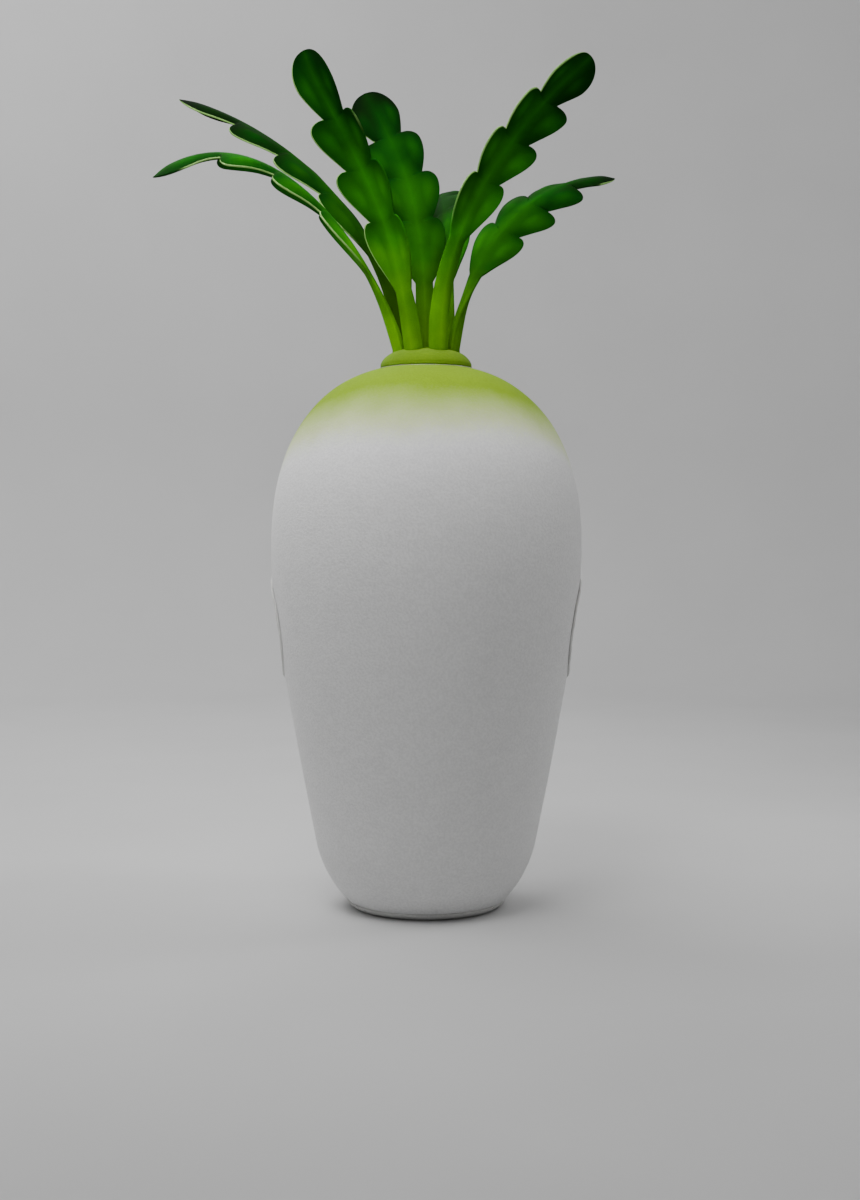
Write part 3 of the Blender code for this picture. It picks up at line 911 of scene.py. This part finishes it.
def armhole_ring(side, grow, lift=0.0, depth=0.0, count=120):
    """A slightly wavy ring round an armhole, grow metres outside its cut edge."""
    ring = []
    for a in turns(count):
        y = (ARMHOLE_HALF_WIDTH + grow) * math.cos(a)
        z = ARMHOLE_LEVEL + (ARMHOLE_HALF_HEIGHT + grow) * math.sin(a)
        wobble = 0.0004 * math.sin(9 * a) + 0.0003 * math.sin(23 * a + 1)
        ring.append(side_point(side, y, z, lift + wobble, depth))
    return ring


def build_armholes(binding, fleece, thread):
    """Each armhole: a knitted binding on the cover, its lining through the foam, and its stitches."""
    # Each entry is how far outside the cut edge, off the cover and into the foam
    lip = (
        (0.0125, 0.0004, 0.0), (0.0130, 0.0014, 0.0), (0.0105, 0.0027, 0.0),
        (0.0060, 0.0032, 0.0), (0.0010, 0.0030, 0.0), (-0.0022, 0.0018, 0.0),
        (-0.0030, 0.0, 0.002),
    )
    lining = (
        (-0.0022, 0.0, 0.003), (-0.0026, 0.0, 0.012), (-0.0026, 0.0, 0.030), (-0.0018, 0.0, 0.040),
    )
    for side, word in ((-1, "left"), (1, "right")):
        rings = [armhole_ring(side, *values) for values in lip]
        ring_band(f"armhole_binding_{word}", rings, binding, 0.0014)
        rings = [armhole_ring(side, *values) for values in lining]
        ring_band(f"armhole_lining_{word}", rings, fleece, 0.0016)
        path = armhole_ring(side, 0.0105, 0.0035, count=240)
        stitches(f"armhole_stitches_{word}", path, thread, 0.0042, 0.00045)


def build_hem(binding, thread):
    """Knitted binding folded round the cover's lower edge."""
    # Out from the hem's edge, and up from the floor
    section = (
        (0.0168, 0.0170), (0.0186, 0.0160), (0.0150, 0.0105), (0.0095, 0.0055), (0.0035, 0.0022),
        (-0.0010, 0.0014), (-0.0026, 0.0030), (-0.0012, 0.0042), (0.0020, 0.0050), (0.0080, 0.0085),
        (0.0140, 0.0140),
    )
    count = 240
    rings = [circle(HEM_RADIUS + r, z, count) for r, z in section]
    rings.append(rings[0])
    points = [p for ring in rings for p in ring]
    set_run(ring_piece("hem_binding", points, count, binding, "fleece"), rings[4])
    stitches("hem_stitches", circle(HEM_RADIUS + 0.0172, 0.0132, 420), thread, 0.0046, 0.00045)


def stitches(name, path, material, length, radius, closed=True):
    """Short raised threads end to end along a path, with gaps between them."""
    runs = list(zip(path, path[1:] + path[:1] if closed else path[1:]))
    total = sum((b - a).length for a, b in runs)
    count = max(2, round(total / (length * STITCH_SPACING)))
    pitch = total / count
    points = []
    faces = []
    done = 0.0
    target = 0.0
    for a, b in runs:
        step = (b - a).length
        while target < done + step - 1e-9 and step > 1e-9:
            centre = a.lerp(b, (target - done) / step)
            ahead = (b - a).normalized()
            up = Vector((0, 0, 1)) if abs(ahead.z) < 0.9 else Vector((1, 0, 0))
            right = ahead.cross(up).normalized()
            up = right.cross(ahead)
            put_box(points, faces, centre, (radius, length / 2, radius), (right, ahead, up))
            target += pitch
        done += step
    piece(name, points, faces, material, "fleece")


def stalk_oval(p):
    """Distance from the nearest stalk in units of its own half size, 1 at its skin."""
    nearest = 9.0
    for leaf in LEAVES:
        outward = ring_place(leaf.turn)
        gap = Vector((p.x, p.y, 0)) - outward * LEAF_RING_RADIUS
        deep = gap.dot(outward) / (STALK_THICKNESS / 2)
        wide = gap.dot(Vector((-outward.y, outward.x, 0))) / (STALK_WIDTH / 2)
        nearest = min(nearest, math.hypot(deep, wide))
    return nearest


def collar_is_held(p):
    """The collar is sewn down at its base and round each stalk."""
    seat = dome_level(min(COLLAR_RADIUS, math.hypot(p.x, p.y)))
    return p.z < seat + 0.005 or stalk_oval(p) < 0.85


def build_collar(material, thread):
    """A padded disc on the dome, snug round each stalk and creased at its seam."""
    base = dome_level(COLLAR_RADIUS) + FIT_GAP
    round_low = base + COLLAR_SIDE
    top = COLLAR_TOP - 0.0005
    profile = [Vector((COLLAR_FLAT_RADIUS * i / 10, top)) for i in range(10)]
    for i in range(15):
        a = math.pi / 2 * i / 14
        radius = COLLAR_FLAT_RADIUS + (COLLAR_RADIUS - COLLAR_FLAT_RADIUS) * math.sin(a)
        profile.append(Vector((radius, round_low + (top - round_low) * math.cos(a))))
    for i in range(1, 9):
        radius = COLLAR_RADIUS * (1 - i / 8)
        profile.append(Vector((radius, dome_level(radius) + FIT_GAP)))
    points = turned_rows(profile, turns(COLLAR_SIDES))
    obj = ring_piece("collar", points, COLLAR_SIDES, material, "collar", ("crown_collar",))
    remesh = obj.modifiers.new("Remesh", "REMESH")
    remesh.mode = "VOXEL"
    remesh.voxel_size = COLLAR_VOXEL
    apply_modifiers(obj)
    inflate(obj, collar_is_held, COLLAR_SWELL)
    subdivision = obj.modifiers.new("Subdivision", "SUBSURF")
    subdivision.levels = subdivision.render_levels = 1
    apply_modifiers(obj)
    for vertex in obj.data.vertices:
        p = vertex.co - AXIS
        radius = math.hypot(p.x, p.y)
        seat = dome_level(min(COLLAR_RADIUS, radius)) + FIT_GAP
        above = p.z - seat
        free = smooth_step(0.0, 0.012, above)
        crease = CREASE_DEPTH * bump_at(1.0, 0.11, stalk_oval(p))
        vertex.co.z += free * (0.0006 * noise.noise(p * 24) - crease)
        pinch = 1 - 0.010 * bump_at(0.0065, 0.0022, above) * smooth_step(0.085, 0.1, radius)
        vertex.co.x = AXIS.x + p.x * pinch
        vertex.co.y = AXIS.y + p.y * pinch
        vertex.co.z = max(vertex.co.z, seat)
    obj.data.shade_smooth()
    level = dome_level(COLLAR_RADIUS + 0.0025) + 0.0012
    stitches("collar_stitches", circle(COLLAR_RADIUS + 0.0020, level, 240), thread, 0.005, 0.0004)


# Leaves


def ring_place(turn):
    """The direction out from the axis at a turn in degrees from the front."""
    a = math.radians(turn)
    return Vector((math.sin(a), -math.cos(a), 0))


def blade_place(leaf, share):
    """Where a share of the leaf's length lies in its lobes: (lobe number, share of that lobe)."""
    share = max(0.0, (share - leaf.stalk) / (1 - leaf.stalk))
    number = 0
    start = 0
    while number < TIP and share >= LOBES[number].end:
        start = LOBES[number].end
        number += 1
    return number, (share - start) / (LOBES[number].end - start)


def half_width(leaf, share):
    """Half width of a leaf at a share of its length."""
    if share <= leaf.stalk:
        return STALK_WIDTH / 2
    number, u = blade_place(leaf, share)
    lobe = LOBES[number]
    peak_share = TIP_PEAK_SHARE if number == TIP else LOBE_PEAK_SHARE
    if u <= peak_share:
        swell = math.sin(math.pi / 2 * u / peak_share)
        return leaf.width * (lobe.notch + (lobe.peak - lobe.notch) * swell)
    u = (u - peak_share) / (1 - peak_share)
    if number == TIP:
        return leaf.width * lobe.peak * max(0.0, 1 - u**TIP_BLUNTNESS) ** (1 / TIP_BLUNTNESS)
    following = LOBES[number + 1].notch
    return leaf.width * (following + (lobe.peak - following) * math.sqrt(max(0.0, 1 - u * u)))


def midrib_handles(leaf):
    root = ring_place(leaf.turn) * LEAF_RING_RADIUS + Vector((0, 0, COLLAR_TOP))
    tip = Vector(leaf.tip)
    level = Vector((tip.x - root.x, tip.y - root.y, 0)).normalized()
    lean, pitch = math.radians(leaf.lean), math.radians(leaf.pitch)
    leaving = level * math.sin(lean) + Vector((0, 0, math.cos(lean)))
    arriving = level * math.cos(pitch) + Vector((0, 0, math.sin(pitch)))
    return root, root + leaving * leaf.rise, tip - arriving * leaf.arrive, tip


def midrib_lengths(handles, count=160):
    points = [bezier(*handles, i / count) for i in range(count + 1)]
    return [(b - a).length for a, b in zip(points, points[1:])]


def midrib_frame(leaf, handles, lengths, side, share):
    """Place, direction, sideways and inward vectors at a share of the leaf's length."""
    left = share * sum(lengths)
    t = 1.0
    for i, length in enumerate(lengths):
        if left <= length:
            t = (i + left / length) / len(lengths)
            break
        left -= length
    step = 0.01
    ahead = bezier(*handles, min(1, t + step)) - bezier(*handles, max(0, t - step))
    ahead.normalize()
    across = (side - ahead * side.dot(ahead)).normalized()
    roll = leaf.roll * smooth_step(0.05, 0.40, share) + leaf.twist * smooth_step(0.45, 1.0, share)
    roll = math.radians(roll)
    across = Matrix.Rotation(roll, 3, ahead) @ across
    return bezier(*handles, t), ahead, across, ahead.cross(across)


def leaf_rows(leaf):
    """Shares of the length with a row of points, close together where a lobe ends."""
    rows = [leaf.stalk * i / STALK_ROWS for i in range(STALK_ROWS)]
    start = 0
    blade = []
    for lobe in LOBES[:TIP]:
        span = lobe.end - start
        for i in range(LOBE_ROWS):
            u = i / LOBE_ROWS
            blade.append(start + span * (1 - (1 - u) ** 1.7))
        start = lobe.end
    for i in range(TIP_ROWS):
        u = i / (TIP_ROWS - 1)
        blade.append(start + (1 - start) * (1 - (1 - u) ** 1.5) * 0.9995)
    return rows + [leaf.stalk + (1 - leaf.stalk) * share for share in blade]


def lobe_valley(leaf, share, s):
    """1 along the crease that runs from each notch towards the rib, 0 on the lobes."""
    if share <= leaf.stalk:
        return 0.0
    number, u = blade_place(leaf, share)
    before = bump_at(0, 0.20, u) if number > 0 else 0.0
    after = bump_at(1, 0.13, u) if number < TIP else 0.0
    return max(before, after) * smooth_step(0.25, 1.0, abs(s))


def lobe_hill(leaf, share, s):
    """1 at the middle of each lobe's padded half, 0 at its edges."""
    if share <= leaf.stalk:
        return 0.0
    number, u = blade_place(leaf, share)
    peak = 0.45 if number == TIP else 0.55
    return bump_at(peak, 0.26, u) * bump_at(0.58, 0.26, abs(s))


def leaf_half_thickness(leaf, share, s):
    """Half the leaf's thickness: an oval stalk that thins into a rib, and a padded blade."""
    blade = smooth_step(0.1 * leaf.stalk, 1.5 * leaf.stalk, share)
    middle = STALK_THICKNESS / 2 + (BLADE_THICKNESS / 2 - STALK_THICKNESS / 2) * blade
    oval = middle * math.sqrt(max(0.0, 1 - (0.93 * s) ** 2))
    width = half_width(leaf, share)
    rib_half_width = 0.015 - 0.010 * smooth_step(leaf.stalk, 0.95, share)
    rib = RIB_HEIGHT * (1 - 0.8 * share) * bump_at(0, rib_half_width, s * width)
    flat = EDGE_HALF_THICKNESS + 0.0024 * (1 - s * s) + rib
    flat += 0.0010 * lobe_hill(leaf, share, s) - 0.0004 * lobe_valley(leaf, share, s)
    return oval + (flat - oval) * blade


def leaf_surface(leaf, handles, lengths, side, share, s):
    """A point of the leaf's middle surface; s runs across it from -1 to 1."""
    place, ahead, across, inward = midrib_frame(leaf, handles, lengths, side, share)
    blade = smooth_step(0.6 * leaf.stalk, 1.3 * leaf.stalk, share)
    tip_fade = 1 - smooth_step(0.82, 0.97, share)
    edge = max(0.0005, half_width(leaf, share) - EDGE_HALF_THICKNESS * blade)
    forward = LOBE_SHEAR * blade * tip_fade * abs(s) * edge
    drop = leaf.fold * blade * (s * edge) ** 2 / (FOLD_WIDTH * leaf.width)
    drop += VALLEY_DEPTH * blade * lobe_valley(leaf, share, s)
    drop -= HILL_HEIGHT * blade * lobe_hill(leaf, share, s)
    return place + across * (s * edge) + ahead * forward - inward * drop


def bare_lit_edge_share(outward):
    """How pale a cut edge shows: those that face to one side and down show bare foam, partly its own colour
    where the spray missed and partly a painted highlight.
    """
    return 0.15 + 0.85 * smooth_step(0.1, 0.6, outward.dot(BARE_LIT_EDGE_SIDE))


def build_leaf(leaf, material):
    """A closed padded blade: two faces with relief and a rounded cut edge between them."""
    handles = midrib_handles(leaf)
    lengths = midrib_lengths(handles)
    outward = ring_place(leaf.turn)
    side = Vector((-outward.y, outward.x, 0))
    rows = leaf_rows(leaf)
    columns = [math.sin(math.pi / 2 * (2 * j / ACROSS_COUNT - 1)) for j in range(ACROSS_COUNT + 1)]
    middle = [[leaf_surface(leaf, handles, lengths, side, share, s) for s in columns] for share in rows]
    root = Vector((0, 0, ROOT_DEPTH))
    middle.insert(0, [p - root for p in middle[0]])
    rows.insert(0, 0.0)
    points = []
    marks = {"along": [], "across": [], "valley": [], "rim": [], "lobe": []}

    def add(point, share, s, rim):
        points.append(AXIS + point)
        marks["along"].append(share)
        marks["across"].append(abs(s))
        marks["valley"].append(lobe_valley(leaf, share, s) * (1 - rim))
        marks["rim"].append(rim)
        marks["lobe"].append(lobe_hill(leaf, share, s))

    last_row = len(rows) - 1
    for i, share in enumerate(rows):
        line = middle[i]
        below = middle[max(0, i - 1)]
        above = middle[min(last_row, i + 1)]
        normals = []
        for j in range(ACROSS_COUNT + 1):
            run = line[min(ACROSS_COUNT, j + 1)] - line[max(0, j - 1)]
            climb = above[j] - below[j]
            normals.append(climb.cross(run).normalized())
        tip_thin = math.sqrt(max(0.04, 1 - smooth_step(0.94, 1.0, share)))
        halves = [leaf_half_thickness(leaf, share, s) * tip_thin for s in columns]
        edges = {1: (line[-1] - line[-2]).normalized(), -1: (line[0] - line[1]).normalized()}
        cut = smooth_step(0.8 * leaf.stalk, 1.5 * leaf.stalk, share)
        bare = {sign: cut * bare_lit_edge_share(edge) for sign, edge in edges.items()}
        order = list(range(ACROSS_COUNT + 1))
        for face, last in ((1, -1), (-1, 0)):
            for j in order[::face]:
                s = columns[j]
                rim = smooth_step(0.992, 1.0, abs(s)) * bare[1 if s > 0 else -1]
                add(line[j] + normals[j] * (face * halves[j]), share, s, rim)
            for turn in EDGE_TURNS:
                a = math.pi * turn
                reach = edges[face] * math.sin(a) + normals[last] * (face * math.cos(a))
                add(line[last] + reach * halves[last], share, 1.0, bare[face])
    loop = 2 * (ACROSS_COUNT + 1) + 2 * len(EDGE_TURNS)
    faces = grid_faces(len(rows), loop, close_columns=True)
    faces.append(tuple(range(loop)))
    faces.append(tuple(last_row * loop + j for j in range(loop)))
    obj = piece(f"{leaf.name}_sprayed", points, faces, material, "leaf", (leaf.name,))
    for name, values in marks.items():
        attribute = obj.data.attributes.new(name, "FLOAT", "POINT")
        attribute.data.foreach_set("value", values)


# Zip and straps


def zip_stations(pitch):
    """Places up the back at an even pitch, with the outward and upward directions there."""
    path = []
    level = ZIP_LOW_LEVEL
    while level < ZIP_TOP_LEVEL:
        path.append(surface_point(math.pi / 2, level))
        level += 0.001
    stations = []
    left = 0.0
    for a, b in zip(path, path[1:]):
        step = (b - a).length
        while left < step:
            up = (b - a).normalized()
            stations.append((a.lerp(b, left / step), Vector((0, up.z, -up.y)), up))
            left += pitch
        left -= step
    return stations


def build_zip(tape_material, teeth_material, metal):
    """Two tapes with interlocking teeth between them, a stop at each end, and the closed slider."""
    right = Vector((1, 0, 0))
    points = []
    faces = []
    near, far = TAPE_EDGES
    for low, high in ((-far, -near), (near, far)):
        section = ((low, 0.0012), (high, 0.0016), (high, 0.0026), (low, 0.0021))
        rows = []
        for place, outward, up in zip_stations(TAPE_PITCH):
            rows.append([place + right * x + outward * lift for x, lift in section])
        put_tube(points, faces, rows)
    tape = piece("zip_tapes", points, faces, tape_material, "zip", ("zip_tape",))
    tape.data.set_sharp_from_angle(angle=math.radians(35))

    points = []
    faces = []
    stations = zip_stations(ZIP_PITCH)
    for i, (place, outward, up) in enumerate(stations):
        side = 1 if i % 2 else -1
        centre = place + right * (side * 0.0011) + outward * 0.0030
        put_box(points, faces, centre, TOOTH_HALF, (right, up, outward))
    for side in (-1, 1):
        for place, outward, up in (stations[-1], stations[0]):
            centre = place + right * (side * 0.0042) + outward * 0.0032
            put_box(points, faces, centre, STOP_HALF, (right, up, outward))
    piece("zip_teeth", points, faces, teeth_material, "zip")

    place, outward, up = zip_stations(0.001)[SLIDER_STATION]
    points = []
    faces = []
    rows = []
    for lift, scale in ((0.0044, 0.93), (0.0050, 1.0), (0.0066, 1.0), (0.0073, 0.90)):
        layer = place + outward * lift
        rows.append([layer + right * (x * scale) + up * (y * scale) for x, y in SLIDER_OUTLINE])
    put_tube(points, faces, rows)
    rows = []
    for i in range(13):
        a = math.pi * i / 12
        arch = place + up * (math.cos(a) * 0.0068)
        lift = 0.0070 + math.sin(a) * 0.0036
        corners = ((-0.0016, -0.0006), (0.0016, -0.0006), (0.0016, 0.0006), (-0.0016, 0.0006))
        rows.append([arch + right * x + outward * (lift + z) for x, z in corners])
    put_tube(points, faces, rows)
    tab_hang(points, faces, place, outward, up, right)
    slider = piece("slider", points, faces, metal, "slider", ("zip_slider",))
    slider.data.set_sharp_from_angle(angle=math.radians(35))


def tab_hang(points, faces, place, outward, up, right):
    """The pull tab, a rounded plate with a slot, hanging from the slider's bridge."""
    top = place + outward * 0.0092 - up * 0.012
    count = 28
    start = len(points)
    layers = []
    for half_width, half_length, power in ((0.0048, 0.0165, 0.55), (0.0022, 0.0125, 0.6)):
        ring = []
        for a in turns(count):
            y = math.copysign(half_length * abs(math.sin(a)) ** power, math.sin(a))
            ring.append(top + right * (half_width * math.cos(a)) + up * y)
        layers.append(ring)
    outer, inner = layers
    thickness = outward * 0.0012
    for ring in (outer, [p + thickness for p in outer], [p + thickness for p in inner], inner):
        points += ring
    faces += grid_faces(4, count, close_columns=True, offset=start)
    for j in range(count):
        k = (j + 1) % count
        faces.append((start + 3 * count + j, start + 3 * count + k, start + k, start + j))


def wall_radius(level):
    radius, outward = outline_at(level)
    return radius - outward.x * (COVER_THICKNESS + FIT_GAP + FOAM_WALL)


def strap_row(across, u):
    """A point of a strap's middle surface; u runs from the front wall, -1, to the back wall, 1."""
    hang = min(1.0, abs(u))
    level = STRAP_LEVEL - STRAP_SAG * (1 - hang * hang) + STRAP_ANCHOR * max(0.0, abs(u) - 1)
    wall = wall_radius(max(STRAP_LEVEL, level)) - STRAP_TO_WALL
    depth = math.sqrt(wall**2 - across**2)
    return AXIS + Vector((across, math.copysign(depth * hang, u), level))


def build_straps(webbing, thread):
    """Webbing with its ends sewn to the wall by a box of stitches with a diagonal in it."""
    anchor = [1 + i / 10 for i in range(1, 11)]
    us = [-u for u in reversed(anchor)] + [-1 + i / 28 for i in range(57)] + anchor
    columns = (-1, -0.93, -0.5, 0, 0.5, 0.93, 1)
    corners = ((-0.85, 1.08), (0.85, 1.08), (0.85, 1.92), (-0.85, 1.92), (-0.85, 1.08), (0.85, 1.92))
    for word, offset in (("left", -STRAP_OFFSET), ("right", STRAP_OFFSET)):
        points = []
        for u in us:
            for s in columns:
                sink = 0.0006 if abs(s) == 1 else 0.0
                p = strap_row(offset + s * STRAP_WIDTH / 2, u)
                points.append(p - Vector((0, 0, sink)))
        obj = piece(
            f"webbing_{word}", points, grid_faces(len(us), len(columns)), webbing, "webbing",
            (f"strap_{word}",),
        )
        thicken(obj, STRAP_THICKNESS)
        for end in (-1, 1):
            path = []
            for (s0, u0), (s1, u1) in zip(corners, corners[1:]):
                for i in range(12):
                    t = i / 12
                    s, u = s0 + (s1 - s0) * t, u0 + (u1 - u0) * t
                    p = strap_row(offset + s * STRAP_WIDTH / 2, end * u)
                    path.append(p + Vector((0, -end * 0.0014, 0)))
            where = "front" if end < 0 else "back"
            stitches(f"strap_stitches_{word}_{where}", path, thread, 0.0036, 0.0004, closed=False)


# Camera, floor and light


def build_stage():
    """A pale round floor that curves up into a plain wall on all sides."""
    flat = STUDIO_RADIUS - STUDIO_CURVE
    profile = [(0.0, 0.0), (1.5, 0.0), (3.0, 0.0), (flat, 0.0)]
    for i in range(1, 13):
        a = math.pi / 2 * i / 12
        profile.append((flat + STUDIO_CURVE * math.sin(a), STUDIO_CURVE * (1 - math.cos(a))))
    profile.append((STUDIO_RADIUS, STUDIO_HEIGHT))
    points = [p for radius, z in profile for p in circle(radius, z, STUDIO_SIDES, Vector())]
    mesh = bpy.data.meshes.new("floor")
    mesh.from_pydata(points, [], grid_faces(len(profile), STUDIO_SIDES, close_columns=True))
    mesh.shade_smooth()
    graph = Graph("pale floor", (0.70, 0.70, 0.70), 0.85, Specular_IOR_Level=0.2)
    graph.colour(graph.grey(graph.noise(graph.place, 1.5, detail=4), 0.66, 0.73))
    mesh.materials.append(graph.material)
    floor = new_object("floor", mesh)
    merge_close(floor)


def aim(obj, target):
    obj.rotation_euler = (Vector(target) - obj.location).to_track_quat("-Z", "Y").to_euler()


def add_lamp(lamp):
    data = bpy.data.lights.new(lamp.name, "AREA")
    data.shape = "RECTANGLE"
    data.size, data.size_y = lamp.size
    data.energy = lamp.power
    data.spread = math.radians(lamp.spread)
    light = new_object(lamp.name, data)
    light.location = lamp.place
    light.visible_camera = False
    aim(light, lamp.target)


def build_light():
    world = bpy.data.worlds.new("studio")
    bpy.context.scene.world = world
    world.use_nodes = True
    background = world.node_tree.nodes["Background"]
    background.inputs["Color"].default_value = (1.0, 1.0, 1.0, 1.0)
    background.inputs["Strength"].default_value = 0.03
    for lamp in LAMPS:
        add_lamp(lamp)
    for name, turn, power in WALL_LAMPS:
        outward = ring_place(turn)
        place = outward * (STUDIO_RADIUS - WALL_LAMP_GAP) + Vector((0, 0, WALL_LAMP_LEVEL))
        target = outward * STUDIO_RADIUS + Vector((0, 0, WALL_LAMP_TARGET))
        add_lamp(Lamp(name, place, target, WALL_LAMP_SIZE, power, 180))


def build_camera():
    """The photograph's camera: in front, level with the belly, tilted down a little."""
    data = bpy.data.cameras.new("camera")
    data.sensor_width = CAMERA_SENSOR
    data.lens = CAMERA_SENSOR / 2 / math.tan(math.radians(CAMERA_FIELD / 2))
    camera = new_object("camera", data)
    camera.location = (AXIS.x, AXIS.y - CAMERA_DISTANCE, CAMERA_LEVEL)
    camera.rotation_euler = (math.radians(90 - CAMERA_TILT), 0, -math.radians(CAMERA_TURN))
    bpy.context.scene.camera = camera


build_camera()
build_stage()
build_light()
fleece = make_cover_material()
rib_knit = make_rib_material("rib knit", (0.80, 0.80, 0.78))
sewing_thread = make_grained_material(
    "thread", (0.66, 0.66, 0.63), (0.88, 0.88, 0.86), (1500, 1), (0.0003, 0.5), 0.7, Sheen_Weight=0.1,
)
build_cover(fleece)
build_foam(make_foam_material())
build_collar(make_collar_material(), sewing_thread)
for one_leaf in LEAVES:
    build_leaf(one_leaf, make_leaf_material(f"sprayed {one_leaf.name}", one_leaf.shade))
build_armholes(rib_knit, fleece, sewing_thread)
build_hem(rib_knit, sewing_thread)
build_zip(
    make_woven_material("zip tape", (0.78, 0.78, 0.76), (0.55, 0.55, 0.53), 1400, 0.8),
    make_grained_material(
        "zip teeth", (0.70, 0.70, 0.68), (0.86, 0.86, 0.84), (900, 2), (0.0002, 0.3), 0.4,
        Specular_IOR_Level=0.5,
    ),
    make_metal_material(),
)
build_straps(
    make_woven_material("webbing", (0.045, 0.045, 0.048), (0.008, 0.008, 0.009), 900, 0.75),
    sewing_thread,
)
